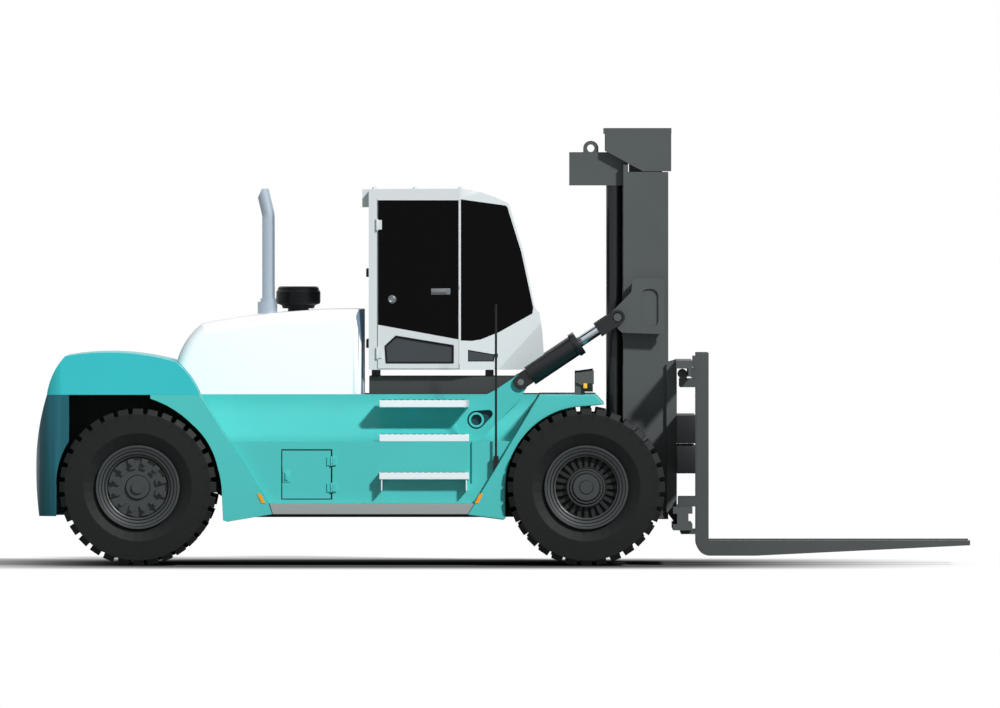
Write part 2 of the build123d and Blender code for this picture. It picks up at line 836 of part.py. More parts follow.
cleaner_x = rear_x + 1512
cleaner_y = -120
with BuildPart() as air_precleaner:
    cleaner_section = [
        (0, 2385),
        (100, 2385),
        (100, 2432),
        (148, 2432),
        (160, 2462),
        (205, 2478),
        (211, 2500),
        (211, 2590),
        (196, 2612),
        (196, 2626),
        (178, 2642),
        (0, 2642),
    ]
    with BuildSketch(Plane(origin=(cleaner_x, cleaner_y, 0), x_dir=(1, 0, 0), z_dir=(0, -1, 0))) as bowl:
        with BuildLine():
            Polyline(*cleaner_section, close=True)
        make_face()
    revolve(bowl.sketch, axis=Axis((cleaner_x, cleaner_y, 0), (0, 0, 1)))
    add(hood.part, mode=Mode.SUBTRACT)
save(air_precleaner.part, "air_precleaner")

# Arms that carry the tilt cylinders, on the frame's sides
arm_hole = (front_x - 1042, 1377)
arm_hole_tip = (front_x - 925, 1434)
with BuildPart() as tilt_arms:
    plate(at(arm_outline, front_x), -tilt_y - tilt_tongue / 2, -frame_half_width)
    round_bar(
        front_x + tilt_base_x, tilt_base_z, 74, -tilt_y - tilt_tongue / 2, -frame_half_width
    )
    with BuildSketch(side_plane(-frame_half_width - 20)) as teardrop:
        with Locations(arm_hole):
            Circle(87)
        with Locations(arm_hole_tip):
            Circle(38)
        make_hull()
    extrude(teardrop.sketch, amount=100, mode=Mode.SUBTRACT)
    with BuildSketch(side_plane(-frame_half_width - 19)) as arm_ring:
        with Locations(arm_hole):
            Circle(72)
            Circle(52, mode=Mode.SUBTRACT)
    extrude(arm_ring.sketch, amount=48)
    round_bar(
        front_x + tilt_base_x,
        tilt_base_z,
        tilt_pin_radius + pin_clearance,
        -tilt_y - 100,
        -frame_half_width + 10,
        mode=Mode.SUBTRACT,
    )
    both_sides()
save(tilt_arms.part, "tilt_arms")

# Lamps and poles on the front fenders
with BuildPart() as fender_lamps:
    block((front_x - 103, front_x - 15), (-1330, -1290), (deck_z, 1830))
    lamp_hood = at([(-103, 1740), (-103, 1826), (72, 1850), (72, 1722), (-15, 1700)], front_x)
    plate(lamp_hood, -1355, -1265)
    block((front_x - 30, front_x + 62), (-1345, -1275), (1649, 1740))
    both_sides()
save(fender_lamps.part, "fender_lamps")

pole_x = front_x - 856
pole_radius = 11
pole_foot_half_width = 20
pole_y = -body_half_width + pole_foot_half_width
pole_foot_top_z = 1040
with BuildPart() as marker_poles:
    foot = [
        (pole_x - 25, on_line(front_diagonal[2][::-1], front_diagonal[1][::-1], pole_x - 25)),
        (pole_x + 25, on_line(front_diagonal[2][::-1], front_diagonal[1][::-1], pole_x + 25)),
        (pole_x + 25, pole_foot_top_z),
        (pole_x - 25, pole_foot_top_z),
    ]
    plate(foot, pole_y - pole_foot_half_width, pole_y + pole_foot_half_width)
    post(pole_x, pole_y, pole_radius, pole_foot_top_z, 2479)
    both_sides()
save(marker_poles.part, "marker_poles")

# Drive axle and steer axle
with BuildPart() as drive_axle:
    hub_inner_y = twin_outer_y - twin_spacing - tyre_width / 2 - 20
    round_bar(front_x, axle_z, 150, -hub_inner_y + 20, hub_inner_y - 20)
    round_bar(front_x - 100, axle_z, 240, -190, 190)
    round_bar(front_x, axle_z, 70, -hub_inner_y - 120, hub_inner_y + 120)
save(drive_axle.part, "drive_axle")

with BuildPart() as steer_axle:
    beam_end_y = kingpin_y - 95
    block((rear_x - 130, rear_x + 130), (-beam_end_y, beam_end_y), (axle_z - 110, axle_z + 110))
    block((rear_x - 130, rear_x + 130), (-220, 220), (axle_z + 110, 1000))
    for y in (-kingpin_y, kingpin_y):
        for low_z in (axle_z - 150, axle_z + 105):
            post(rear_x, y, 85, low_z, low_z + 45)
            block((rear_x - 85, rear_x + 85), tuple(sorted((y, y * 0.88))), (low_z, low_z + 45))
        post(rear_x, y, kingpin_radius, axle_z - 150, axle_z + 150)
save(steer_axle.part, "steer_axle")

with BuildPart() as knuckle:
    post(rear_x, -kingpin_y, 75, axle_z - 100, axle_z + 100)
    round_bar(rear_x, axle_z, spindle_radius, -kingpin_y - 240, -kingpin_y)
    post(
        rear_x,
        -kingpin_y,
        kingpin_radius + pin_clearance,
        axle_z - 110,
        axle_z + 110,
        mode=Mode.SUBTRACT,
    )
save_pair(knuckle.part, "knuckle")


def turned(x, points, mode=Mode.ADD):
    """Revolve a (y, radius) outline about the wheel axle at x."""
    with BuildSketch(Plane(origin=(x, 0, axle_z), x_dir=(0, 1, 0), z_dir=(1, 0, 0))) as outline:
        with BuildLine():
            Polyline(*points, close=True)
        make_face()
    revolve(outline.sketch, axis=Axis((x, 0, axle_z), (0, 1, 0)), mode=mode)


def two_sided(half_points, y):
    """A (y, radius) outline mirrored about a tyre's middle."""
    mirrored = [(y - along, radius) for along, radius in reversed(half_points)]
    return [(y + along, radius) for along, radius in half_points] + mirrored


half_tyre = tyre_width / 2
lug_foot_radius = tyre_radius - lug_depth
sidewall_crown_radius = 510
tyre_half_section = [
    (half_tyre - 66, bead_radius),
    (half_tyre, sidewall_crown_radius),
    (half_tyre - 6, lug_foot_radius),
    (half_tyre - 30, tyre_radius),
]
rim_half_section = [
    (half_tyre - 20, rim_inner_radius),
    (half_tyre + 6, rim_flange_radius - 14),
    (half_tyre + 6, rim_flange_radius),
    (half_tyre - 4, rim_flange_radius),
    (half_tyre - 34, bead_radius + 28),
    (half_tyre - 64, bead_radius - seat_gap),
]


# One tyre about the origin: a flat-sided sector with one lug, repeated round the axle
half_facet = tyre_radius * tan(pi / lug_count)
half_lug = half_facet - lug_gap / 2
with BuildPart() as tyre_sector:
    with BuildSketch(Plane.YZ) as tyre_profile:
        with BuildLine():
            Polyline(*two_sided(tyre_half_section, 0), close=True)
        make_face()
    extrude(tyre_profile.sketch, amount=half_facet, both=True)
    with BuildSketch(side_plane(half_tyre)) as wedge:
        Polygon((0, 0), (-half_facet, tyre_radius), (half_facet, tyre_radius), align=None)
        for low_x in (-half_facet, half_lug):
            with Locations((low_x, lug_foot_radius)):
                Rectangle(lug_gap / 2, lug_depth, align=(Align.MIN, Align.MIN), mode=Mode.SUBTRACT)
    extrude(wedge.sketch, amount=tyre_width, mode=Mode.INTERSECT)

with BuildPart() as tyre:
    add([tyre_sector.part.rotate(Axis.Y, 360 * i / lug_count) for i in range(lug_count)])

with BuildPart() as rear_tyre:
    with Locations((rear_x, -rear_track_y, axle_z)):
        add(tyre.part)
save_pair(rear_tyre.part, "rear_tyre")

with BuildPart() as front_tyres:
    for y in (-twin_outer_y, -twin_outer_y + twin_spacing):
        with Locations((front_x, y, axle_z)):
            add(tyre.part)
save_pair(front_tyres.part, "front_tyres")

# Rear wheel: rim, set-in disc with twelve clamps, and a hub on the knuckle's spindle
clamp_count = 12
rear_disc_y = -rear_track_y - half_tyre + 62
with BuildPart() as rear_rim:
    turned(rear_x, two_sided(rim_half_section, -rear_track_y))
    round_bar(rear_x, axle_z, rim_inner_radius + 2, rear_disc_y, rear_disc_y + 30)
    round_bar(rear_x, axle_z, 150, rear_disc_y, -kingpin_y - 100)
    round_bar(rear_x, axle_z, 110, rear_disc_y - 26, rear_disc_y)
    round_bar(rear_x, axle_z, 58, rear_disc_y - 52, rear_disc_y - 26)
    with BuildSketch(side_plane(rear_disc_y)) as clamps:
        with Locations((rear_x, axle_z)):
            with PolarLocations(226, clamp_count, start_angle=15):
                Rectangle(100, 57)
    extrude(clamps.sketch, amount=26)
    round_bar(
        rear_x,
        axle_z,
        spindle_radius + pin_clearance,
        -kingpin_y - 245,
        -kingpin_y - 50,
        mode=Mode.SUBTRACT,
    )
save_pair(rear_rim.part, "rear_rim")

# Front wheels: two rims on one planetary hub, with a ribbed ring round it
rib_count = 24
front_face_y = -twin_outer_y - half_tyre
with BuildPart() as front_rims:
    turned(front_x, two_sided(rim_half_section, -twin_outer_y))
    turned(front_x, two_sided(rim_half_section, -twin_outer_y + twin_spacing))
    round_bar(front_x, axle_z, rim_inner_radius + 2, front_face_y + 110, front_face_y + 150)
    round_bar(front_x, axle_z, rim_inner_radius + 2, -twin_outer_y + twin_spacing, -twin_outer_y + twin_spacing + 40)
    round_bar(front_x, axle_z, 192, front_face_y + 30, -hub_inner_y)
    round_bar(front_x, axle_z, 154, front_face_y + 14, front_face_y + 30)
    round_bar(front_x, axle_z, 124, front_face_y, front_face_y + 14)
    round_bar(front_x, axle_z, 60, front_face_y - 8, front_face_y)
    with BuildSketch(side_plane(front_face_y + 110)) as ribs:
        with Locations((front_x, axle_z)):
            with PolarLocations(242, rib_count):
                Rectangle(108, 34)
    extrude(ribs.sketch, amount=34)
    round_bar(
        front_x,
        axle_z,
        drive_spindle_radius + pin_clearance,
        -hub_inner_y - 125,
        -hub_inner_y + 10,
        mode=Mode.SUBTRACT,
    )
save_pair(front_rims.part, "front_rims")

# Reflectors on the lower corners of the fenders: (x from the axle at the foot, lean)
reflector_rows = [
    (rear_x + 1176, -46),
    (front_x - 1058, 46),
]
with BuildPart() as reflectors:
    for foot_x, lean in reflector_rows:
        strip = [
            (foot_x, 592),
            (foot_x + lean, 682),
            (foot_x + lean + 34, 682),
            (foot_x + 34, 592),
        ]
        plate(strip, -body_half_width - 6, -body_half_width)
    both_sides()
save(reflectors.part, "reflectors")

# Outer mast: two inward-facing channels with ties, a rear frame with lifting eyes
# and ears on the chassis pin
mid_tie_z = (1950, 2150)
tie_rear_x = -158
tie_z = (3603, 3920)
eye_radius = 71
eye_bore = 36


def channel(low_x, high_x, web_y, web, flange, width, low_z, high_z):
    """A right-hand mast channel that opens towards the middle, standing from low_z to high_z."""
    with BuildSketch(Plane.XY.offset(low_z)) as section:
        with Locations(((low_x + high_x) / 2, -web_y + width / 2)):
            Rectangle(high_x - low_x, width)
        with Locations(((low_x + high_x) / 2, -web_y + web + width / 2)):
            Rectangle(high_x - low_x - 2 * flange, width, mode=Mode.SUBTRACT)
    extrude(section.sketch, amount=high_z - low_z)


with BuildPart() as mast_outer:
    channel(
        front_x + outer_rail_rear_x,
        front_x + outer_rail_front_x,
        mast_half_width,
        rail_web,
        rail_flange,
        outer_rail_width,
        mast_bottom_z,
        outer_rail_top_z,
    )
    block(
        (front_x + tie_rear_x, front_x + outer_rail_rear_x + rail_flange),
        (-lift_y - 75, 0),
        tie_z,
    )
    block(
        (front_x + outer_rail_rear_x, front_x + outer_rail_rear_x + rail_flange),
        (-mast_half_width, -mast_half_width + outer_rail_width),
        (outer_rail_top_z - 5, 3800),
    )
    block(
        (front_x + tie_rear_x + 70, front_x + 180),
        (-lift_y + 20, 0),
        (tie_z[0] - 1, tie_z[1] + 1),
        mode=Mode.SUBTRACT,
    )
    post(front_x + lift_x, -lift_y, 60, tie_z[0] - 1, tie_z[1] + 1, mode=Mode.SUBTRACT)
    eye_centre = (front_x + 47, 3957)
    block(
        (eye_centre[0] - eye_radius, eye_centre[0] + eye_radius),
        (-490, -450),
        (tie_z[1] - 5, eye_centre[1]),
    )
    round_bar(*eye_centre, eye_radius, -490, -450)
    round_bar(*eye_centre, eye_bore, -500, -440, mode=Mode.SUBTRACT)
    tie_front_x = outer_rail_rear_x + rail_flange + 2
    block((front_x + outer_rail_rear_x + 2, front_x + tie_front_x), (-500, 0), (440, 760))
    block((front_x + outer_rail_rear_x + 2, front_x + tie_front_x), (-500, 0), mid_tie_z)
    block((front_x + 194, front_x + tie_front_x), (-520, -340), (760, 800))
    block((front_x + tie_front_x - 2, front_x + 482), (-302, -248), (2090, 2130))
    for low_y in (-340, -228):
        ear = at([(tie_front_x - 2, 500), (tie_front_x - 2, 700), (tilt_pin_x, 672), (tilt_pin_x, 528)], front_x)
        plate(ear, low_y, low_y + 48)
        round_bar(front_x + tilt_pin_x, tilt_pin_z, 72, low_y, low_y + 48)
    round_bar(front_x + tilt_pin_x, tilt_pin_z, tilt_pin_radius, -340, -180)
    both_sides()
save(mast_outer.part, "mast_outer")

# Tilt brackets: plates on the outer mast's sides that hold the tilt cylinders' rod pins
with BuildPart() as tilt_brackets:
    bracket = at(
        [
            (tilt_eye_x - 60, tilt_eye_z - 45),
            (tilt_eye_x - 45, tilt_eye_z + 60),
            (362, 2522),
            (430, 2593),
            (438, 2690),
            (472, 2723),
            (710, 2723),
            (747, 2690),
            (747, 2191),
            (340, 2205),
        ],
        front_x,
    )
    plate(bracket, -tilt_y - tilt_tongue / 2, -tilt_y + tilt_tongue / 2)
    round_bar(
        front_x + tilt_eye_x,
        tilt_eye_z,
        74,
        -tilt_y - tilt_tongue / 2,
        -tilt_y + tilt_tongue / 2,
    )
    spacer = at([(450, 2215), (450, 2690), (720, 2690), (720, 2215)], front_x)
    plate(spacer, -tilt_y, -mast_half_width)
    slot_plane = side_plane(-tilt_y - tilt_tongue / 2 + 22)
    with BuildSketch(slot_plane) as slot:
        with Locations((front_x + 603, 2438)):
            RectangleRounded(166, 366, 70)
    extrude(slot.sketch, amount=40, mode=Mode.SUBTRACT)
    round_bar(
        front_x + tilt_eye_x,
        tilt_eye_z,
        tilt_eye_pin_radius,
        -tilt_y - tilt_tongue / 2 - side_clearance - tilt_ear - 8,
        -tilt_y + tilt_tongue / 2 + side_clearance + tilt_ear + 8,
    )
    both_sides()
save(tilt_brackets.part, "tilt_brackets")

# Lift cylinders: barrels on the outer mast's foot and rods up to the inner mast's head
with BuildPart() as lift_barrels:
    post(front_x + lift_x, -lift_y, lift_barrel_radius, 800, tie_z[0])
    post(front_x + lift_x, -lift_y, lift_rod_radius + 12, 1090, 3530, mode=Mode.SUBTRACT)
    post(
        front_x + lift_x,
        -lift_y,
        lift_rod_radius + pin_clearance,
        3520,
        tie_z[0] + 10,
        mode=Mode.SUBTRACT,
    )
    both_sides()
save(lift_barrels.part, "lift_barrels")

head_plate_z = head_top_z - 55
with BuildPart() as lift_rods:
    post(front_x + lift_x, -lift_y, lift_rod_radius, 1100, head_plate_z)
    both_sides()
save(lift_rods.part, "lift_rods")

# Inner mast: channels inside the outer ones, head with cheeks, sheaves and a foot tie
inner_half_width = mast_half_width - rail_web - 45
inner_rail_rear_x = outer_rail_rear_x + rail_flange + mast_slide_gap
inner_rail_front_x = outer_rail_front_x - rail_flange - mast_slide_gap
inner_flange = 42
inner_foot_z = 470
sheave_x = (inner_rail_rear_x + inner_rail_front_x) / 2
sheave_z = 3945
sheave_radius = 100
sheave_y = 275
chain_width = 50
chain_thickness = 16
wrap_links = 24
with BuildPart() as mast_inner:
    channel(
        front_x + inner_rail_rear_x,
        front_x + inner_rail_front_x,
        inner_half_width,
        rail_web,
        inner_flange,
        140,
        inner_foot_z,
        head_plate_z + 5,
    )
    block((front_x + 168, front_x + 812), (-mast_half_width, 0), (head_plate_z, head_top_z))
    cheek = at([(182, head_plate_z + 5), (182, 3933), (538, 3738), (810, 3738), (810, head_plate_z + 5)], front_x)
    plate(cheek, -mast_half_width, -inner_half_width + 2)
    block((front_x + 500, front_x + 640), (-inner_half_width + 5, 0), (inner_foot_z, 560))
    round_bar(front_x + sheave_x, 640, 150, -mast_half_width + rail_web + 4, -inner_half_width + 2)
    for low_y in (-sheave_y - 50, -sheave_y + 35):
        block((front_x + sheave_x - 45, front_x + sheave_x + 45), (low_y, low_y + 15), (sheave_z - 45, head_plate_z + 2))
    round_bar(front_x + sheave_x, sheave_z, 30, -sheave_y - 50, -sheave_y + 50)
    both_sides()
save(mast_inner.part, "mast_inner")

with BuildPart() as chain_sheaves:
    round_bar(front_x + sheave_x, sheave_z, sheave_radius - seat_gap, -sheave_y - 26, -sheave_y + 26)
    for low_y in (-sheave_y - 32, -sheave_y + 26):
        round_bar(front_x + sheave_x, sheave_z, sheave_radius + 10, low_y, low_y + 6)
    round_bar(front_x + sheave_x, sheave_z, 30 + pin_clearance, -sheave_y - 60, -sheave_y + 60, mode=Mode.SUBTRACT)
    both_sides()
save(chain_sheaves.part, "chain_sheaves")

# Chains: half turns over the sheaves, and straight runs to the carriage and to the outer mast
chain_front_x = front_x + sheave_x + sheave_radius
chain_rear_x = front_x + sheave_x - sheave_radius
carriage_anchor_z = 1740
mast_anchor_z = 2130
with BuildPart() as chain_wraps:
    with BuildSketch(side_plane(-sheave_y + chain_width / 2)) as wrap:
        with Locations((front_x + sheave_x, sheave_z)):
            for apothem, mode in ((sheave_radius + chain_thickness, Mode.ADD), (sheave_radius, Mode.SUBTRACT)):
                RegularPolygon(
                    apothem, wrap_links, major_radius=False, rotation=180 / wrap_links, mode=mode
                )
            with Locations((0, -sheave_radius)):
                Rectangle(4 * sheave_radius, 2 * sheave_radius, mode=Mode.SUBTRACT)
    extrude(wrap.sketch, amount=chain_width)
    both_sides()
save(chain_wraps.part, "chain_wraps")

with BuildPart() as chain_front_runs:
    block(
        (chain_front_x, chain_front_x + chain_thickness),
        (-sheave_y - chain_width / 2, -sheave_y + chain_width / 2),
        (carriage_anchor_z, sheave_z),
    )
    both_sides()
save(chain_front_runs.part, "chain_front_runs")

with BuildPart() as chain_rear_runs:
    block(
        (chain_rear_x - chain_thickness, chain_rear_x),
        (-sheave_y - chain_width / 2, -sheave_y + chain_width / 2),
        (mast_anchor_z, sheave_z),
    )
    both_sides()
save(chain_rear_runs.part, "chain_rear_runs")

# Carriage: roller plates in the inner channels, side plates outside the mast and beams for the forks
carriage_rear_x = 861
roller_radius = (inner_rail_front_x - inner_rail_rear_x) / 2 - inner_flange - seat_gap
with BuildPart() as carriage:
    web = at([(480, 640), (480, 1880), (carriage_rear_x + 2, 1880), (carriage_rear_x + 2, 560), (700, 560)], front_x)
    plate(web, -365, -325)
    for roller_z in (760, 1760):
        round_bar(front_x + sheave_x, roller_z, roller_radius, -inner_half_width + rail_web + 6, -362)
    block((chain_front_x - 20, chain_front_x + 36), (-330, -sheave_y + 25), (carriage_anchor_z - 60, carriage_anchor_z))
    side = at(
        [(780, 1920), (carriage_rear_x + 2, 1943), (carriage_rear_x + 2, 400), (840, 400), (764, 505), (764, 1909)],
        front_x,
    )
    plate(side, -mast_half_width - 45, -mast_half_width - 8)
    beams = (
        ((carriage_rear_x - 8, 1008), (1867, 1943)),
        ((968, 998), (1790, 1870)),
        ((carriage_rear_x, 1036), (1158, 1422)),
        ((carriage_rear_x, 1036), (872, 1133)),
        ((carriage_rear_x - 38, 1008), (490, 552)),
        ((carriage_rear_x, 970), (390, 492)),
        ((carriage_rear_x - 38, 1008), (332, 392)),
    )
    for (low_x, high_x), beam_z in beams:
        block((front_x + low_x, front_x + high_x), (-carriage_half_width, 0), beam_z)
    both_sides()
save(carriage.part, "carriage")

# Forks: blade, shank, hook with its roller over the top lip, and guides on the lower beam
with BuildPart() as fork:
    shank_rear_x = fork_face_x - fork_thickness
    tip_x = fork_face_x + fork_length
    taper_x = fork_face_x + 446
    heel_radius = 130
    with BuildSketch(side_plane(-fork_rest_y + fork_width / 2)) as fork_side:
        with BuildLine():
            heel_start = (shank_rear_x, fork_blade_bottom_z + heel_radius)
            heel_end = (shank_rear_x + heel_radius, fork_blade_bottom_z)
            heel_middle = (
                heel_end[0] - heel_radius * sin(radians(45)),
                heel_start[1] - heel_radius * cos(radians(45)),
            )
            ThreePointArc(heel_start, heel_middle, heel_end)
            Polyline(
                heel_end,
                (taper_x, fork_blade_bottom_z),
                (tip_x, fork_blade_top_z - fork_tip_thickness),
                (tip_x, fork_blade_top_z),
                (fork_face_x, fork_blade_top_z),
                (fork_face_x, fork_top_z),
                (shank_rear_x, fork_top_z),
                heel_start,
            )
        make_face()
    extrude(fork_side.sketch, amount=fork_width)
    fork_y = (-fork_rest_y - fork_width / 2, -fork_rest_y + fork_width / 2)
    block((shank_rear_x - 28, shank_rear_x + 1), fork_y, (1871, 1978))
    block((front_x + 1006, shank_rear_x + 1), fork_y, (1768, 1863))
    block((front_x + 890, shank_rear_x + 1), fork_y, (1686, 1762))
    round_bar(front_x + 968 - 45 - seat_gap, 1806, 45, *fork_y)
    block((front_x + 880, shank_rear_x + 1), fork_y, (552 + seat_gap, 638))
    block((front_x + 900, shank_rear_x + 1), fork_y, (290, 326))
save_pair(fork.part, "fork")

# Tilt cylinders, drawn along their own axis from the base pin to the eye
tilt_length = hypot(tilt_eye_x - tilt_base_x, tilt_eye_z - tilt_base_z)
tilt_angle = atan2(tilt_eye_z - tilt_base_z, tilt_eye_x - tilt_base_x)
tilt_axis = Plane(
    origin=(front_x + tilt_base_x, -tilt_y, tilt_base_z),
    x_dir=(cos(tilt_angle), 0, sin(tilt_angle)),
    z_dir=(0, -1, 0),
)
clevis_inner = tilt_tongue / 2 + side_clearance
clevis_outer = clevis_inner + tilt_ear


def clevis(low, high, ear_at, ear_radius, bore):
    """A clevis along the cylinder's axis: a solid foot from low to high and two ears round ear_at."""
    toward = 1 if ear_at > high else -1
    foot_end = high if toward > 0 else low
    for offset_y in (-clevis_outer, clevis_inner):
        with BuildSketch(tilt_axis.offset(offset_y)) as ear:
            with Locations(((foot_end + ear_at) / 2, 0)):
                Rectangle(abs(foot_end - ear_at) + 2, 2 * ear_radius)
            with Locations((ear_at, 0)):
                Circle(ear_radius)
            if bore:
                with Locations((ear_at, 0)):
                    Circle(bore, mode=Mode.SUBTRACT)
        extrude(ear.sketch, amount=tilt_ear)
    with BuildSketch(tilt_axis.offset(-clevis_outer)) as foot:
        with Locations(((low + high) / 2, 0)):
            Rectangle(high - low, 2 * ear_radius)
    extrude(foot.sketch, amount=2 * clevis_outer)


def along_axis(points, mode=Mode.ADD):
    """Revolve a (distance, radius) outline about the tilt cylinder's axis."""
    with BuildSketch(tilt_axis) as outline:
        with BuildLine():
            Polyline(*points, close=True)
        make_face()
    revolve(outline.sketch, axis=Axis(tilt_axis.origin, tilt_axis.x_dir), mode=mode)


barrel_end = 671
with BuildPart() as tilt_barrel:
    clevis(82, 110, 0, 70, 0)
    along_axis(
        [
            (105, 0),
            (105, tilt_barrel_radius),
            (612, tilt_barrel_radius),
            (612, 113),
            (barrel_end, 113),
            (barrel_end, tilt_rod_radius + pin_clearance),
            (640, tilt_rod_radius + pin_clearance),
            (640, 66),
            (150, 66),
            (150, 0),
        ]
    )
    with BuildSketch(tilt_axis.offset(-clevis_outer)) as base_pin:
        Circle(tilt_pin_radius)
    extrude(base_pin.sketch, amount=2 * clevis_outer)
save_pair(tilt_barrel.part, "tilt_barrel")

with BuildPart() as tilt_rod:
    clevis(882, tilt_length - 82, tilt_length, 70, tilt_eye_pin_radius + eye_drift)
    along_axis([(350, 0), (350, tilt_rod_radius), (884, tilt_rod_radius), (884, 0)])
save_pair(tilt_rod.part, "tilt_rod")
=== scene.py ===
import json
import math

import bmesh
import bpy
from mathutils import Matrix, Vector


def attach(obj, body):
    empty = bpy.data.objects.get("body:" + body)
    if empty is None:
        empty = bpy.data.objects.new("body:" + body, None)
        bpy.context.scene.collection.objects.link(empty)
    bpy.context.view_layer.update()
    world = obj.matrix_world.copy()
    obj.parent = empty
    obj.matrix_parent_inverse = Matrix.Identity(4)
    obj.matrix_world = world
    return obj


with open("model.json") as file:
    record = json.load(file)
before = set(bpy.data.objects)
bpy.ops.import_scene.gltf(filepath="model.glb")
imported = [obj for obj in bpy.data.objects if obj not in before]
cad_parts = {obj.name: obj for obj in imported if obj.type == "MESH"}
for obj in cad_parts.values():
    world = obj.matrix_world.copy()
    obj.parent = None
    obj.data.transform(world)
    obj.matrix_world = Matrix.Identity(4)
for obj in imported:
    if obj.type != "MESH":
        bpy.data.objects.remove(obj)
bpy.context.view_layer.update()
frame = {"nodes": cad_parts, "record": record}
nodes = frame["nodes"]

# Places on the truck, in metres
REAR_X = -3.4665
FRONT_X = 0.7835
AXLE_Z = 0.745
REAR_FACE_Y = 1.25 + 0.216
FRONT_FACE_Y = 1.359 + 0.216
REAR_DISC_DEPTH = 0.062
FRONT_DISC_DEPTH = 0.110
FRONT_RIB_HEIGHT = 0.034
CAB_SIDE_Y = 0.76
BODY_SIDE_Y = 1.45
ACROSS = (0, 1, 0)
SIDES = (("right", -1), ("left", 1))

# The side view's scale: its origin column, ground row and metres to a pixel
ORIGIN_COLUMN = 504
ORIGIN_X = 0.0035
GROUND_ROW = 565.3
PIXEL = 0.009487


def at_pixel(column, row):
    """The x and z, in metres, of a place read from the side view."""
    return (column - ORIGIN_COLUMN) * PIXEL + ORIGIN_X, (GROUND_ROW - row) * PIXEL


def srgb(red, green, blue):
    """Linear colour from 0-255 screen values."""
    def linear(value):
        value = value / 255
        return value / 12.92 if value <= 0.04045 else ((value + 0.055) / 1.055) ** 2.4
    return linear(red), linear(green), linear(blue), 1.0


# Materials

COAT_ROUGHNESS = 0.12
MOTTLE_SCALE = 1.7
MOTTLE_DETAIL = 4
MOTTLE_LOW = 0.3
MOTTLE_HIGH = 0.7
GRAIN_DETAIL = 3
GRAIN_DEPTH = 0.002


def add_noise(tree, scale, detail):
    """A noise texture on the object's own coordinates."""
    place = tree.nodes.new("ShaderNodeTexCoord")
    noise = tree.nodes.new("ShaderNodeTexNoise")
    noise.inputs["Scale"].default_value = scale
    noise.inputs["Detail"].default_value = detail
    tree.links.new(place.outputs["Object"], noise.inputs["Vector"])
    return noise.outputs["Fac"]


def material(name, colour, roughness, metallic=0.0, coat=0.0, grain=0.0, grain_scale=40.0,
             mottle=0.0, transmission=0.0, specular=0.5):
    """A shader with a slight unevenness in colour and surface; colour is in screen values."""
    made = bpy.data.materials.new(name)
    made.use_nodes = True
    tree = made.node_tree
    shader = tree.nodes["Principled BSDF"]
    shader.inputs["Base Color"].default_value = srgb(*colour)
    shader.inputs["Roughness"].default_value = roughness
    shader.inputs["Metallic"].default_value = metallic
    shader.inputs["Coat Weight"].default_value = coat
    shader.inputs["Coat Roughness"].default_value = COAT_ROUGHNESS
    shader.inputs["Transmission Weight"].default_value = transmission
    shader.inputs["Specular IOR Level"].default_value = specular
    if mottle:
        ramp = tree.nodes.new("ShaderNodeMapRange")
        ramp.inputs["From Min"].default_value = MOTTLE_LOW
        ramp.inputs["From Max"].default_value = MOTTLE_HIGH
        ramp.inputs["To Min"].default_value = 1 - mottle
        ramp.inputs["To Max"].default_value = 1.0
        mix = tree.nodes.new("ShaderNodeMix")
        mix.data_type = "RGBA"
        mix.blend_type = "MULTIPLY"
        mix.inputs["Factor"].default_value = 1.0
        mix.inputs["A"].default_value = srgb(*colour)
        tree.links.new(add_noise(tree, MOTTLE_SCALE, MOTTLE_DETAIL), ramp.inputs["Value"])
        tree.links.new(ramp.outputs["Result"], mix.inputs["B"])
        tree.links.new(mix.outputs["Result"], shader.inputs["Base Color"])
    if grain:
        bump = tree.nodes.new("ShaderNodeBump")
        bump.inputs["Strength"].default_value = grain
        bump.inputs["Distance"].default_value = GRAIN_DEPTH
        tree.links.new(add_noise(tree, grain_scale, GRAIN_DETAIL), bump.inputs["Height"])
        tree.links.new(bump.outputs["Normal"], shader.inputs["Normal"])
    return made


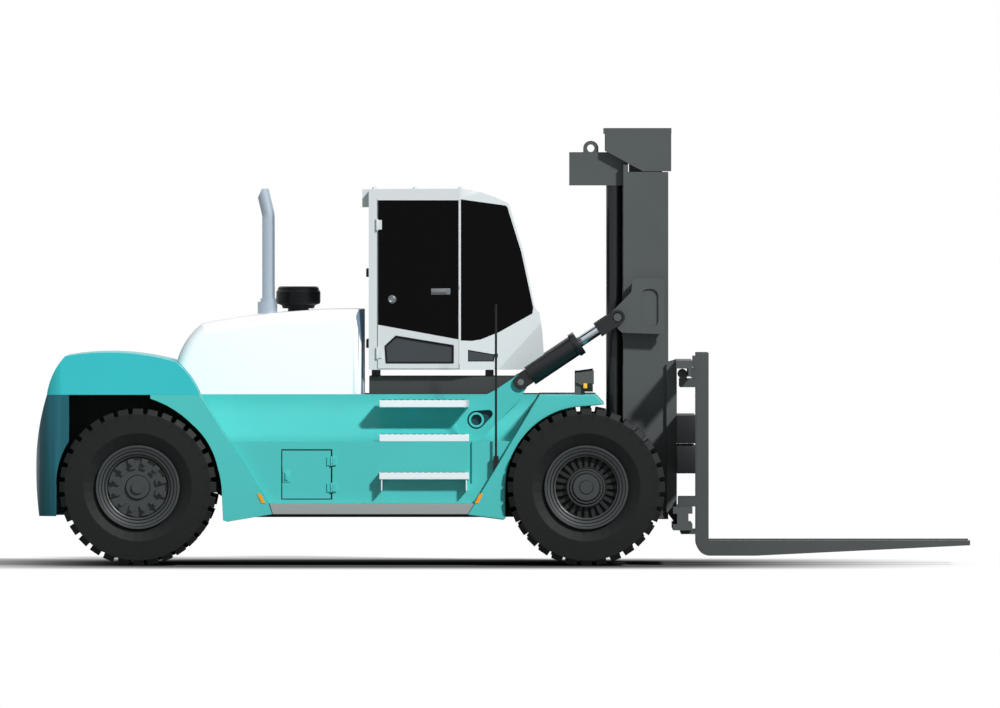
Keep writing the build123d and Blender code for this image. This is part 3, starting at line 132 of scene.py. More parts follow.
# Each finish: colour in screen values, roughness, and what differs from a plain paint
FINISHES = {
    "cap_paint": ((48, 188, 194), 0.36, dict(coat=0.1, grain=0.04, mottle=0.04, specular=0.3)),
    "body_paint": ((76, 190, 187), 0.4, dict(coat=0.06, grain=0.04, mottle=0.04, specular=0.25)),
    "hood_paint": ((249, 252, 254), 0.4, dict(coat=0.1, grain=0.03)),
    "cab_paint": ((206, 213, 215), 0.4, dict(coat=0.1, grain=0.03, specular=0.3)),
    "frame_paint": ((57, 61, 62), 0.5, dict(grain=0.15, specular=0.25)),
    "mast_paint": ((82, 87, 87), 0.48, dict(grain=0.12, mottle=0.1, specular=0.2)),
    "fork_paint": ((76, 80, 80), 0.5, dict(grain=0.15, mottle=0.12, specular=0.25)),
    "black_paint": ((22, 24, 26), 0.42, dict(grain=0.15, specular=0.25)),
    "barrel_paint": ((22, 26, 29), 0.36, dict(coat=0.15, grain=0.08, specular=0.3)),
    "step_paint": ((226, 238, 241), 0.42, dict(coat=0.1, grain=0.03, specular=0.3)),
    "sill_metal": ((152, 161, 160), 0.42, dict(metallic=0.5, grain=0.08)),
    "cast": ((52, 56, 58), 0.6, dict(grain=0.5, grain_scale=90)),
    "rim_paint": ((58, 63, 63), 0.4, dict(grain=0.15, mottle=0.12, specular=0.3)),
    "tyre": ((18, 21, 21), 0.6, dict(grain=0.4, grain_scale=60, mottle=0.15, specular=0.2)),
    "glass_dark": ((4, 4, 5), 0.04, dict(transmission=0.08, specular=0.02)),
    "exhaust_metal": ((176, 190, 204), 0.25, dict(metallic=0.55, grain=0.04)),
    "cleaner_plastic": ((8, 10, 12), 0.36, dict(grain=0.08, specular=0.15)),
    "seat_fabric": ((40, 42, 45), 0.85, dict(grain=0.6, grain_scale=300)),
    "console_plastic": ((36, 38, 41), 0.5, dict(grain=0.2)),
    "rod_chrome": ((190, 200, 208), 0.14, dict(metallic=1.0)),
    "chain_steel": ((84, 84, 86), 0.4, dict(metallic=0.9, grain=0.2)),
    "reflector": ((246, 158, 20), 0.3, dict(coat=0.1, grain=0.2, grain_scale=120, specular=0.2)),
    # Rubber for seals, and also dark pieces of painted shade in the wheels' recesses and grooves
    "rubber_and_painted_shade": ((14, 15, 16), 0.6, dict(grain=0.1, specular=0.2)),
    "bolt_steel": ((120, 125, 128), 0.35, dict(metallic=0.8)),
    "lens_yellow": ((250, 196, 40), 0.2, dict(coat=0.5)),
    "tinted_panel": ((62, 67, 71), 0.14, dict(coat=0.1, specular=0.15)),
    # A darker petrol that is painted shade on the lower counterweight, not a paint colour of its
    # own
    "block_painted_shade": ((25, 92, 104), 0.42, dict(coat=0.1, grain=0.04, mottle=0.1, specular=0.2)),
    "rib_dark": ((34, 37, 37), 0.5, dict(grain=0.3, specular=0.2)),
    # Painted shadow for the floor of the tilt arms' teardrop recess
    "recess_painted_shadow": ((26, 66, 72), 0.5, dict(grain=0.1, specular=0.2)),
    # A blue-grey painted reflection for the hood's front facets
    "hood_facet_painted_reflection": ((120, 140, 160), 0.5, dict(grain=0.8, grain_scale=180, specular=0.2)),
}
looks = {}
for name, (colour, roughness, rest) in FINISHES.items():
    looks[name] = material(name, colour, roughness, **rest)

# The lower counterweight gets a darker paint than its slot's plain paint: painted shade that
# stands in for the shadow on its side
PAINTED_SHADE_LOOK = {"counterweight_lower": "block_painted_shade"}
slot_of = {row["node"]: row["material_slot"] for row in frame["record"]["subparts"]}
for node_name, node in nodes.items():
    node.data.materials.clear()
    node.data.materials.append(looks[PAINTED_SHADE_LOOK.get(node_name, slot_of[node_name])])


def paint_faces(node_name, look, chosen):
    """Put a second finish on the faces of a node that a test picks by centre and normal."""
    mesh = nodes[node_name].data
    mesh.materials.append(looks[look])
    for polygon in mesh.polygons:
        if chosen(polygon.center, polygon.normal):
            polygon.material_index = len(mesh.materials) - 1


# The hood's front corners face forwards and outwards, and get a blue-grey colour that is a
# painted dark reflection
FACET_FORWARD = 0.75
FACET_OUTWARD = 0.4
FACET_UPRIGHT = 0.3


def on_hood_facet(centre, normal):
    upright = abs(normal.z) < FACET_UPRIGHT
    return normal.x > FACET_FORWARD and abs(normal.y) > FACET_OUTWARD and upright


paint_faces("hood", "hood_facet_painted_reflection", on_hood_facet)

# The tilt rods' eyes are dark from the place along the rod where the chrome ends
TILT_PIN_X = FRONT_X - 0.621
TILT_PIN_Z = 1.735
TILT_BASE = Vector((TILT_PIN_X, 0, TILT_PIN_Z))
TILT_ALONG = Vector((0.83094, 0, 0.55636))
ROD_EYE_START = 0.88


def on_rod_eye(centre, normal):
    return (centre - TILT_BASE).dot(TILT_ALONG) > ROD_EYE_START


for label, sign in SIDES:
    paint_faces("tilt_rod_" + label, "barrel_paint", on_rod_eye)

# Nodes whose edges are rounded a little where they show, with the width in metres
ROUNDED = {
    "counterweight_lower": 0.03, "counterweight_cap": 0.02, "hood": 0.012, "rear_fenders": 0.012,
    "front_fenders": 0.012, "side_boxes": 0.028, "sills": 0.006, "steps": 0.006,
    "cab_platform": 0.008, "cab_shell": 0.012, "cab_seat": 0.03, "tilt_arms": 0.008,
    "mast_outer": 0.006, "mast_inner": 0.005, "carriage": 0.005, "fork_right": 0.008,
    "fork_left": 0.008, "chassis_frame": 0.006, "door_right": 0.005, "door_left": 0.005,
    "hatch_right": 0.003, "hatch_left": 0.003, "front_rims_right": 0.005,
    "front_rims_left": 0.005, "rear_rim_right": 0.005, "rear_rim_left": 0.005,
    "rear_tyre_right": 0.006, "rear_tyre_left": 0.006, "front_tyres_right": 0.006,
    "front_tyres_left": 0.006, "tilt_barrel_right": 0.004, "tilt_barrel_left": 0.004,
    "tilt_rod_right": 0.003, "tilt_rod_left": 0.003,
}
WELD_DISTANCE = 0.00005
SHARP_ANGLE = 32
TYRE_SHARP_ANGLE = 12
BEVEL_STEPS = 2
BEVEL_PROFILE = 0.6

for node_name, width in ROUNDED.items():
    node = nodes[node_name]
    weld = node.modifiers.new("weld", "WELD")
    weld.merge_threshold = WELD_DISTANCE
    bevel = node.modifiers.new("bevel", "BEVEL")
    bevel.width = width
    bevel.segments = BEVEL_STEPS
    bevel.limit_method = "ANGLE"
    bevel.angle_limit = math.radians(TYRE_SHARP_ANGLE if "tyre" in node_name else SHARP_ANGLE)
    bevel.harden_normals = True
    bevel.use_clamp_overlap = True


# Makers of pieces

# Angles in degrees under which a piece is shaded smooth
SMOOTH_FLAT = 35
SMOOTH_SMALL = 40
SMOOTH_ROUND = 60
# Sides of round things, from a thin wire to a stud
WIRE_SIDES = 8
NUT_SIDES = 6
PIN_SIDES = 16
STUD_SIDES = 20


def piece(name, bm, look, body, smooth_angle=None):
    """A named object from a mesh, in its finish and on its body."""
    mesh = bpy.data.meshes.new(name)
    bm.to_mesh(mesh)
    bm.free()
    made = bpy.data.objects.new(name, mesh)
    bpy.context.scene.collection.objects.link(made)
    mesh.materials.append(looks[look])
    if smooth_angle:
        mesh.polygons.foreach_set("use_smooth", [True] * len(mesh.polygons))
        mesh.set_sharp_from_angle(angle=math.radians(smooth_angle))
    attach(made, body)


def mirrored(name, look, body, build, smooth_angle=SMOOTH_FLAT):
    """The same piece on both sides: build(bm, sign) fills the mesh for one side."""
    for label, sign in SIDES:
        bm = bmesh.new()
        build(bm, sign)
        piece(name + "_" + label, bm, look, body.format(side=label), smooth_angle)


def add_box(bm, low, high, bevel=0.0):
    """A box between two corners."""
    low, high = Vector(low), Vector(high)
    place = Matrix.Translation((low + high) / 2) @ Matrix.Diagonal((*(high - low), 1))
    made = bmesh.ops.create_cube(bm, size=1, matrix=place)
    if bevel:
        edges = {edge for vert in made["verts"] for edge in vert.link_edges}
        bmesh.ops.bevel(bm, geom=list(edges), offset=bevel, segments=BEVEL_STEPS,
                        affect="EDGES", profile=BEVEL_PROFILE)


def add_side_box(bm, low, high, sign, inner_y, outer_y, bevel=0.0):
    """A box between two (x, z) corners and two distances from the middle, on one side."""
    low_y, high_y = sorted((sign * inner_y, sign * outer_y))
    add_box(bm, (low[0], low_y, low[1]), (high[0], high_y, high[1]), bevel)


def add_round(bm, start, end, radius, end_radius=None, sides=24):
    """A cylinder or cone between two points."""
    start, end = Vector(start), Vector(end)
    along = end - start
    turn = along.to_track_quat("Z", "Y").to_matrix().to_4x4()
    bmesh.ops.create_cone(
        bm, cap_ends=True, segments=sides, radius1=radius,
        radius2=radius if end_radius is None else end_radius, depth=along.length,
        matrix=Matrix.Translation((start + end) / 2) @ turn,
    )


def add_ring(bm, centre, axis, radius, tube, steps=64, sides=10, squash=1.0):
    """A torus about an axis, flattened along it by squash."""
    turn = Vector(axis).normalized().to_track_quat("Z", "Y").to_matrix().to_4x4()
    place = Matrix.Translation(Vector(centre)) @ turn
    rows = []
    for i in range(steps):
        a = 2 * math.pi * i / steps
        row = []
        for j in range(sides):
            b = 2 * math.pi * j / sides
            reach = radius + tube * math.cos(b)
            height = tube * squash * math.sin(b)
            point = Vector((reach * math.cos(a), reach * math.sin(a), height))
            row.append(bm.verts.new(place @ point))
        rows.append(row)
    for i in range(steps):
        here, onward = rows[i], rows[(i + 1) % steps]
        for j in range(sides):
            k = (j + 1) % sides
            bm.faces.new((here[j], onward[j], onward[k], here[k]))


def add_plate(bm, near_points, far_points):
    """A flat plate between two outlines with the same number of points."""
    near = [bm.verts.new(point) for point in near_points]
    far = [bm.verts.new(point) for point in far_points]
    bm.faces.new(near)
    bm.faces.new(far[::-1])
    for i in range(len(near)):
        bm.faces.new((near[i], near[i - 1], far[i - 1], far[i]))
    bmesh.ops.recalc_face_normals(bm, faces=bm.faces)


def wheel_point(x, y, radius, angle):
    """A place at a radius and angle round the wheel with its axle at x."""
    return Vector((x + radius * math.cos(angle), y, AXLE_Z + radius * math.sin(angle)))


def add_turned_box(bm, centre, angle, size):
    """A box of a (radial, axial, tangential) size at an angle round the wheel's axle."""
    turn = Matrix.Rotation(-angle, 4, "Y")
    place = Matrix.Translation(centre) @ turn @ Matrix.Diagonal((*size, 1))
    bmesh.ops.create_cube(bm, size=1, matrix=place)


# Door handles, vents and low panes

HANDLE_START = (431, 291.8)
HANDLE_END = (448, 291.8)
HANDLE_PLATE_LIFT = 0.001
HANDLE_PLATE_HALF_DEPTH = 0.004
HANDLE_PLATE_HALF_HEIGHT = 0.03
HANDLE_PLATE_PAST = 0.02
HANDLE_PLATE_EDGE = 0.003
HANDLE_BAR_LIFT = 0.028
HANDLE_BAR_HALF_DEPTH = 0.008
HANDLE_BAR_HALF_HEIGHT = 0.01
HANDLE_BAR_SHORT = 0.01
HANDLE_BAR_EDGE = 0.005
LOCK_RADIUS = 0.024
LOCK_LENGTH = 0.038


def door_handle(bm, sign):
    left, z = at_pixel(*HANDLE_START)
    right = at_pixel(*HANDLE_END)[0]
    plate_y = sign * (CAB_SIDE_Y + HANDLE_PLATE_LIFT)
    low = (left, plate_y - HANDLE_PLATE_HALF_DEPTH, z - HANDLE_PLATE_HALF_HEIGHT)
    end_x = right + HANDLE_PLATE_PAST
    high = (end_x, plate_y + HANDLE_PLATE_HALF_DEPTH, z + HANDLE_PLATE_HALF_HEIGHT)
    add_box(bm, low, high, HANDLE_PLATE_EDGE)
    bar_y = sign * (CAB_SIDE_Y + HANDLE_BAR_LIFT)
    low = (left, bar_y - HANDLE_BAR_HALF_DEPTH, z - HANDLE_BAR_HALF_HEIGHT)
    end_x = right - HANDLE_BAR_SHORT
    high = (end_x, bar_y + HANDLE_BAR_HALF_DEPTH, z + HANDLE_BAR_HALF_HEIGHT)
    add_box(bm, low, high, HANDLE_BAR_EDGE)
    lock_end_y = sign * (CAB_SIDE_Y + LOCK_LENGTH)
    add_round(bm, (right, sign * CAB_SIDE_Y, z), (right, lock_end_y, z), LOCK_RADIUS)


mirrored("door_handle", "bolt_steel", "door_{side}", door_handle)

VENT_PLACE = (392, 299.5)
VENT_LENGTH = 0.008
VENT_RADIUS = 0.042
VENT_TOP_RADIUS = 0.036
VENT_RING_RADIUS = 0.026
VENT_RING_TUBE = 0.005
VENT_RING_STEPS = 32


def door_vent(bm, sign):
    x, z = at_pixel(*VENT_PLACE)
    foot = (x, sign * CAB_SIDE_Y, z)
    top = (x, sign * (CAB_SIDE_Y + VENT_LENGTH), z)
    add_round(bm, foot, top, VENT_RADIUS, VENT_TOP_RADIUS)
    add_ring(bm, top, ACROSS, VENT_RING_RADIUS, VENT_RING_TUBE, VENT_RING_STEPS, WIRE_SIDES)


mirrored("door_vent", "bolt_steel", "door_{side}", door_vent)

# The door's low pane, in x from the front axle and z
LOW_PANE = [(-1.800, 2.160), (-1.270, 2.072), (-1.270, 1.928), (-1.888, 1.928), (-1.898, 2.072)]
LOW_SEAL = [(-1.807, 2.172), (-1.262, 2.082), (-1.262, 1.918), (-1.899, 1.918), (-1.909, 2.077)]
LOW_PANE_INNER_Y = 0.7465
LOW_PANE_OUTER_Y = 0.7475
LOW_SEAL_Y = 0.7615
LOW_SEAL_RADIUS = 0.006


def low_pane(bm, sign):
    low_y, high_y = sorted((sign * LOW_PANE_INNER_Y, sign * LOW_PANE_OUTER_Y))
    near, far = ([(FRONT_X + x, y, z) for x, z in LOW_PANE] for y in (low_y, high_y))
    add_plate(bm, near, far)


mirrored("door_low_tint", "tinted_panel", "door_{side}", low_pane)


def low_pane_seal(bm, sign):
    points = [Vector((FRONT_X + x, sign * LOW_SEAL_Y, z)) for x, z in LOW_SEAL]
    for start, end in zip(points, points[1:] + points[:1]):
        add_round(bm, start, end, LOW_SEAL_RADIUS, sides=WIRE_SIDES)
        corner = Matrix.Translation(start)
        bmesh.ops.create_icosphere(bm, subdivisions=1, radius=LOW_SEAL_RADIUS, matrix=corner)


mirrored("door_low_seal", "rubber_and_painted_shade", "door_{side}", low_pane_seal, SMOOTH_ROUND)

# The low pane in the cab's narrowing nose, in x from the front axle and z
NOSE_PANE = [(-1.114, 2.032), (-0.876, 1.990), (-0.884, 1.938), (-1.114, 1.938)]
NOSE_START_X = -1.199
NOSE_LENGTH = 0.798
NOSE_NARROWING = 0.2
NOSE_PANE_OUTER_DEPTH = 0.0125
NOSE_PANE_INNER_DEPTH = 0.0135


def nose_side_y(x):
    """The cab's half width where the nose narrows, at x from the front axle."""
    return CAB_SIDE_Y - (x - NOSE_START_X) * NOSE_NARROWING / NOSE_LENGTH


def nose_low_pane(bm, sign):
    near, far = (
        [(FRONT_X + x, sign * (nose_side_y(x) - depth), z) for x, z in NOSE_PANE]
        for depth in (NOSE_PANE_OUTER_DEPTH, NOSE_PANE_INNER_DEPTH)
    )
    add_plate(bm, near, far)


mirrored("nose_low_tint", "tinted_panel", "chassis", nose_low_pane)

# Small domes on the cab roof and brackets on its rear wall

STUD_COLUMNS = (374, 414.8, 460.3)
STUD_ROW = 190
STUD_Y = 0.62
# Each part of a stud: foot and top height, foot and top radius
STUD_PARTS = ((3.568, 3.583, 0.026, 0.018), (3.583, 3.590, 0.018, 0.008))

bm = bmesh.new()
for column in STUD_COLUMNS:
    x = at_pixel(column, STUD_ROW)[0]
    for y in (-STUD_Y, STUD_Y):
        for low_z, high_z, foot, top in STUD_PARTS:
            add_round(bm, (x, y, low_z), (x, y, high_z), foot, top, STUD_SIDES)
piece("roof_studs", bm, "cab_paint", "chassis", SMOOTH_SMALL)

BRACKET_COLUMN = 367
BRACKET_ROWS = (273, 344)
BRACKET_REAR_X = FRONT_X - 2.090
BRACKET_FRONT_X = FRONT_X - 2.063
BRACKET_Y = 0.70
BRACKET_HALF_WIDTH = 0.03
BRACKET_HALF_HEIGHT = 0.04
BRACKET_EDGE = 0.006

bm = bmesh.new()
for row in BRACKET_ROWS:
    z = at_pixel(BRACKET_COLUMN, row)[1]
    for y in (-BRACKET_Y, BRACKET_Y):
        low = (BRACKET_REAR_X, y - BRACKET_HALF_WIDTH, z - BRACKET_HALF_HEIGHT)
        high = (BRACKET_FRONT_X, y + BRACKET_HALF_WIDTH, z + BRACKET_HALF_HEIGHT)
        add_box(bm, low, high, BRACKET_EDGE)
piece("rear_wall_brackets", bm, "black_paint", "chassis", SMOOTH_SMALL)

# Black ends on the carriage's two middle beams

BEAM_END_HEIGHTS = ((1.158, 1.422), (0.872, 1.133))
BEAM_REAR_X = FRONT_X + 0.862
BEAM_FRONT_X = FRONT_X + 1.035
BEAM_END_INNER_Y = 1.1995
BEAM_END_OUTER_Y = 1.203
BEAM_GAP = 0.001
BEAM_EDGE = 0.001


def beam_ends(bm, sign):
    for low_z, high_z in BEAM_END_HEIGHTS:
        low, high = (BEAM_REAR_X, low_z + BEAM_GAP), (BEAM_FRONT_X, high_z - BEAM_GAP)
        add_side_box(bm, low, high, sign, BEAM_END_INNER_Y, BEAM_END_OUTER_Y, BEAM_EDGE)


mirrored("beam_ends", "black_paint", "carriage", beam_ends)


# Wheels: dark wells, hub rings, rib faces, nuts and grooves; the wells and the dark groove rings
# are painted shade

WELL_DEPTH = 0.1095
WELL_INNER_RADIUS = 0.192
WELL_OUTER_RADIUS = 0.2925
WELL_STEPS = 64


# A dark sheet of painted shade on the floor of the front rim's deep recess
def front_well(bm, sign):
    y = sign * FRONT_FACE_Y - sign * WELL_DEPTH
    inner, outer = (
        [bm.verts.new(wheel_point(FRONT_X, y, radius, 2 * math.pi * i / WELL_STEPS))
         for i in range(WELL_STEPS)]
        for radius in (WELL_INNER_RADIUS, WELL_OUTER_RADIUS)
    )
    for i in range(WELL_STEPS):
        j = (i + 1) % WELL_STEPS
        bm.faces.new((inner[i], inner[j], outer[j], outer[i]))


mirrored("front_hub_well", "rubber_and_painted_shade", "front_wheels_{side}", front_well)

# Dark rings round a hub, painted shade that stands for grooves: radius, depth below the tyre's
# face, thickness
FRONT_HUB_RINGS = (
    (0.186, 0.030, 0.007),
    (0.158, 0.030, 0.010),
    (0.130, 0.014, 0.010),
    (0.058, 0.0, 0.010),
)
FRONT_RING_STEPS = 64
FRONT_RING_SQUASH = 0.5


def front_hub_rings(bm, sign):
    for radius, depth, tube in FRONT_HUB_RINGS:
        centre = (FRONT_X, sign * (FRONT_FACE_Y - depth), AXLE_Z)
        add_ring(bm, centre, ACROSS, radius, tube, FRONT_RING_STEPS, WIRE_SIDES,
                 FRONT_RING_SQUASH)


mirrored("front_hub_rings", "rubber_and_painted_shade", "front_wheels_{side}", front_hub_rings, SMOOTH_ROUND)

RIB_COUNT = 24
RIB_MIDDLE_RADIUS = 0.244
RIB_FACE_SIZE = (0.096, 0.003, 0.033)
RIB_FACE_LIFT = 0.0005


def front_rib_faces(bm, sign):
    y = sign * (FRONT_FACE_Y - FRONT_DISC_DEPTH + FRONT_RIB_HEIGHT + RIB_FACE_LIFT)
    for i in range(RIB_COUNT):
        a = 2 * math.pi * i / RIB_COUNT
        add_turned_box(bm, wheel_point(FRONT_X, y, RIB_MIDDLE_RADIUS, a), a, RIB_FACE_SIZE)


mirrored("front_rib_faces", "rib_dark", "front_wheels_{side}", front_rib_faces)

LUG_COUNT = 32
LUG_MARK_RADIUS = 0.668
LUG_MARK_SIZE = (0.05, 0.004, 0.024)
LUG_MARK_DEPTH = 0.0052


def lug_marks(bm, sign, x, face_y):
    """Dark slivers of painted shade that stand for shallow grooves leading from the notches down
    the shoulder.
    """
    y = sign * (face_y - LUG_MARK_DEPTH)
    for i in range(LUG_COUNT):
        a = 2 * math.pi * (i + 0.5) / LUG_COUNT
        add_turned_box(bm, wheel_point(x, y, LUG_MARK_RADIUS, a), a, LUG_MARK_SIZE)


mirrored("rear_tyre_lug_marks", "rubber_and_painted_shade", "rear_wheel_{side}",
         lambda bm, sign: lug_marks(bm, sign, REAR_X, REAR_FACE_Y))
mirrored("front_tyre_lug_marks", "rubber_and_painted_shade", "front_wheels_{side}",
         lambda bm, sign: lug_marks(bm, sign, FRONT_X, FRONT_FACE_Y))

NUT_COUNT = 12
HUB_BOLT_RADIUS = 0.142
HUB_BOLT_SIZE = 0.008
HUB_BOLT_FOOT = 0.014
HUB_BOLT_TOP = 0.006


def front_hub_bolts(bm, sign):
    for i in range(NUT_COUNT):
        a = 2 * math.pi * (i + 0.5) / NUT_COUNT
        foot = wheel_point(FRONT_X, sign * (FRONT_FACE_Y - HUB_BOLT_FOOT), HUB_BOLT_RADIUS, a)
        top = wheel_point(FRONT_X, sign * (FRONT_FACE_Y - HUB_BOLT_TOP), HUB_BOLT_RADIUS, a)
        add_round(bm, foot, top, HUB_BOLT_SIZE, sides=NUT_SIDES)


mirrored("front_hub_bolts", "rim_paint", "front_wheels_{side}", front_hub_bolts)

CLAMP_HEIGHT = 0.026
REAR_NUT_RADIUS = 0.226
REAR_NUT_START = math.radians(15)
# Each part of a nut: foot and top above the clamp, size and sides
NUT_PARTS = ((-0.002, 0.020, 0.021, NUT_SIDES), (0.020, 0.034, 0.011, 12))


def rear_nuts(bm, sign):
    clamp_y = REAR_FACE_Y - REAR_DISC_DEPTH + CLAMP_HEIGHT
    for i in range(NUT_COUNT):
        a = REAR_NUT_START + 2 * math.pi * i / NUT_COUNT
        for foot, top, size, sides in NUT_PARTS:
            start = wheel_point(REAR_X, sign * (clamp_y + foot), REAR_NUT_RADIUS, a)
            end = wheel_point(REAR_X, sign * (clamp_y + top), REAR_NUT_RADIUS, a)
            add_round(bm, start, end, size, sides=sides)


mirrored("rear_wheel_nuts", "rim_paint", "rear_wheel_{side}", rear_nuts)

# Rings on the rear disc: radius, height above the disc, thickness and steps round
REAR_HUB_RINGS = ((0.113, 0.001, 0.006, 48), (0.290, 0.002, 0.010, 72))
REAR_RING_SQUASH = 0.6


def rear_hub_ring(bm, sign):
    for radius, height, tube, steps in REAR_HUB_RINGS:
        centre = (REAR_X, sign * (REAR_FACE_Y - REAR_DISC_DEPTH + height), AXLE_Z)
        add_ring(bm, centre, ACROSS, radius, tube, steps, WIRE_SIDES, REAR_RING_SQUASH)


mirrored("rear_hub_ring", "rubber_and_painted_shade", "rear_wheel_{side}", rear_hub_ring, SMOOTH_ROUND)

# Dark rings round the rim's flange, painted shade that stands for grooves: radius and thickness
FLANGE_GROOVES = ((0.372, 0.0045), (0.343, 0.006), (0.312, 0.008))
FLANGE_LIP_RADIUS = 0.384
FLANGE_LIP_HEIGHT = 0.006
FLANGE_SLOPE = 0.026 / 0.092
FLANGE_STEPS = 96
FLANGE_SQUASH = 0.5


def flange_rings(bm, sign, x, face_y):
    """Dark rings of painted shade for the grooves round the stepped flange of a rim."""
    for radius, tube in FLANGE_GROOVES:
        y = face_y + FLANGE_LIP_HEIGHT - FLANGE_SLOPE * (FLANGE_LIP_RADIUS - radius)
        add_ring(bm, (x, sign * y, AXLE_Z), ACROSS, radius, tube, FLANGE_STEPS, WIRE_SIDES,
                 FLANGE_SQUASH)


mirrored("rear_flange_grooves", "rubber_and_painted_shade", "rear_wheel_{side}",
         lambda bm, sign: flange_rings(bm, sign, REAR_X, REAR_FACE_Y), SMOOTH_ROUND)
mirrored("front_flange_grooves", "rubber_and_painted_shade", "front_wheels_{side}",
         lambda bm, sign: flange_rings(bm, sign, FRONT_X, FRONT_FACE_Y), SMOOTH_ROUND)

# The black seam under the counterweight's cap

SEAM_LOW = (REAR_X - 0.640, 1.614)
SEAM_HIGH = (REAR_X + 0.120, 1.6215)
SEAM_SUNK = 0.0015
SEAM_PROUD = 0.0012

bm = bmesh.new()
for label, sign in SIDES:
    add_side_box(bm, SEAM_LOW, SEAM_HIGH, sign, BODY_SIDE_Y - SEAM_SUNK, BODY_SIDE_Y + SEAM_PROUD)
piece("cap_seam", bm, "rubber_and_painted_shade", "chassis")

# Hatch latch, and the seal round the hatch

LATCH_TOP_LEFT = (283, 470)
LATCH_LOW_RIGHT = (290.7, 482)
LATCH_PLATE_Y = (1.3695, 1.376)
LATCH_GRIP_Y = (1.375, 1.388)
LATCH_PLATE_EDGE = 0.002
LATCH_GRIP_EDGE = 0.004
LATCH_GRIP_INSET_X = 0.022
LATCH_GRIP_INSET_Z = 0.02


def hatch_latch(bm, sign):
    left, top = at_pixel(*LATCH_TOP_LEFT)
    right, low = at_pixel(*LATCH_LOW_RIGHT)
    add_side_box(bm, (left, low), (right, top), sign, *LATCH_PLATE_Y, LATCH_PLATE_EDGE)
    grip_low = (left + LATCH_GRIP_INSET_X, low + LATCH_GRIP_INSET_Z)
    grip_high = (right - LATCH_GRIP_INSET_X, top - LATCH_GRIP_INSET_Z)
    add_side_box(bm, grip_low, grip_high, sign, *LATCH_GRIP_Y, LATCH_GRIP_EDGE)


mirrored("hatch_latch", "body_paint", "hatch_{side}", hatch_latch)

HATCH_SEAL_X = (REAR_X + 1.365, REAR_X + 1.833)
HATCH_SEAL_Z = (0.633, 1.096)
HATCH_SEAL_Y = 1.3705
HATCH_SEAL_RADIUS = 0.0035


def hatch_edge(bm, sign):
    (rear_x, front_x), (low_z, high_z) = HATCH_SEAL_X, HATCH_SEAL_Z
    places = ((rear_x, low_z), (front_x, low_z), (front_x, high_z), (rear_x, high_z))
    corners = [Vector((x, sign * HATCH_SEAL_Y, z)) for x, z in places]
    for start, end in zip(corners, corners[1:] + corners[:1]):
        add_round(bm, start, end, HATCH_SEAL_RADIUS, sides=WIRE_SIDES)


mirrored("hatch_edge_seal", "rubber_and_painted_shade", "hatch_{side}", hatch_edge, SMOOTH_ROUND)

# Lamps: black face and amber lens on the outer side

LAMP_TOP_LEFT = (583, 383)
LAMP_LOW_RIGHT = (592.8, 391.5)
LAMP_FACE_Y = (1.354, 1.358)
LAMP_FACE_EDGE = 0.001
LENS_PLACE = (585.2, 385.6)
LENS_HALF_LENGTH = 0.018
LENS_HALF_HEIGHT = 0.024
LENS_Y = (1.356, 1.362)
LENS_EDGE = 0.004


def lamp_face(bm, sign):
    left, top = at_pixel(*LAMP_TOP_LEFT)
    right, low = at_pixel(*LAMP_LOW_RIGHT)
    add_side_box(bm, (left, low), (right, top), sign, *LAMP_FACE_Y, LAMP_FACE_EDGE)


def lamp_lens(bm, sign):
    x, z = at_pixel(*LENS_PLACE)
    low = (x - LENS_HALF_LENGTH, z - LENS_HALF_HEIGHT)
    high = (x + LENS_HALF_LENGTH, z + LENS_HALF_HEIGHT)
    add_side_box(bm, low, high, sign, *LENS_Y, LENS_EDGE)


mirrored("lamp_face", "black_paint", "chassis", lamp_face)
mirrored("lamp_lens", "lens_yellow", "chassis", lamp_lens)

# Clamp on each marker pole

POLE_X = FRONT_X - 0.856
POLE_Y = 1.43
CLAMP_PLACE = (498.5, 355.4)
CLAMP_HALF_HEIGHT = 0.018
CLAMP_RADIUS = 0.019


def pole_clamp(bm, sign):
    z = at_pixel(*CLAMP_PLACE)[1]
    low = (POLE_X, sign * POLE_Y, z - CLAMP_HALF_HEIGHT)
    high = (POLE_X, sign * POLE_Y, z + CLAMP_HALF_HEIGHT)
    add_round(bm, low, high, CLAMP_RADIUS, sides=STUD_SIDES)


mirrored("pole_clamp", "black_paint", "chassis", pole_clamp)

# Grip strips on the steps: each step's top, and where its tread starts and ends

STEP_TREADS = ((1.566, 0.790, 1.070), (1.244, 1.150, 1.360), (0.884, 1.380, 1.490))
GRIP_ROWS = 5
GRIPS_IN_ROW = 14
GRIP_START_X = FRONT_X - 1.925
GRIP_SPACING = 0.058
GRIP_HALF_LENGTH = 0.02
GRIP_HALF_WIDTH = 0.008
GRIP_FOOT = 0.001
GRIP_TOP = 0.004

bm = bmesh.new()
for top_z, inner_y, outer_y in STEP_TREADS:
    for sign in (-1, 1):
        for i in range(GRIP_ROWS):
            y = sign * (inner_y + (outer_y - inner_y) * (i + 0.5) / GRIP_ROWS)
            for j in range(GRIPS_IN_ROW):
                x = GRIP_START_X + GRIP_SPACING * j
                low = (x - GRIP_HALF_LENGTH, y - GRIP_HALF_WIDTH, top_z - GRIP_FOOT)
                high = (x + GRIP_HALF_LENGTH, y + GRIP_HALF_WIDTH, top_z + GRIP_TOP)
                add_box(bm, low, high)
piece("step_grips", bm, "black_paint", "chassis")

# A dark plate of painted shadow on the floor of the tilt arms' teardrop recess: x, z and radius
# of its two rounds

RECESS_ROUNDS = ((FRONT_X - 1.042, 1.377, 0.085), (FRONT_X - 0.925, 1.434, 0.036))
RECESS_FLOOR_Y = 0.725
RECESS_BELOW = 0.002
RECESS_ABOVE = 0.003
RECESS_STEPS = 32


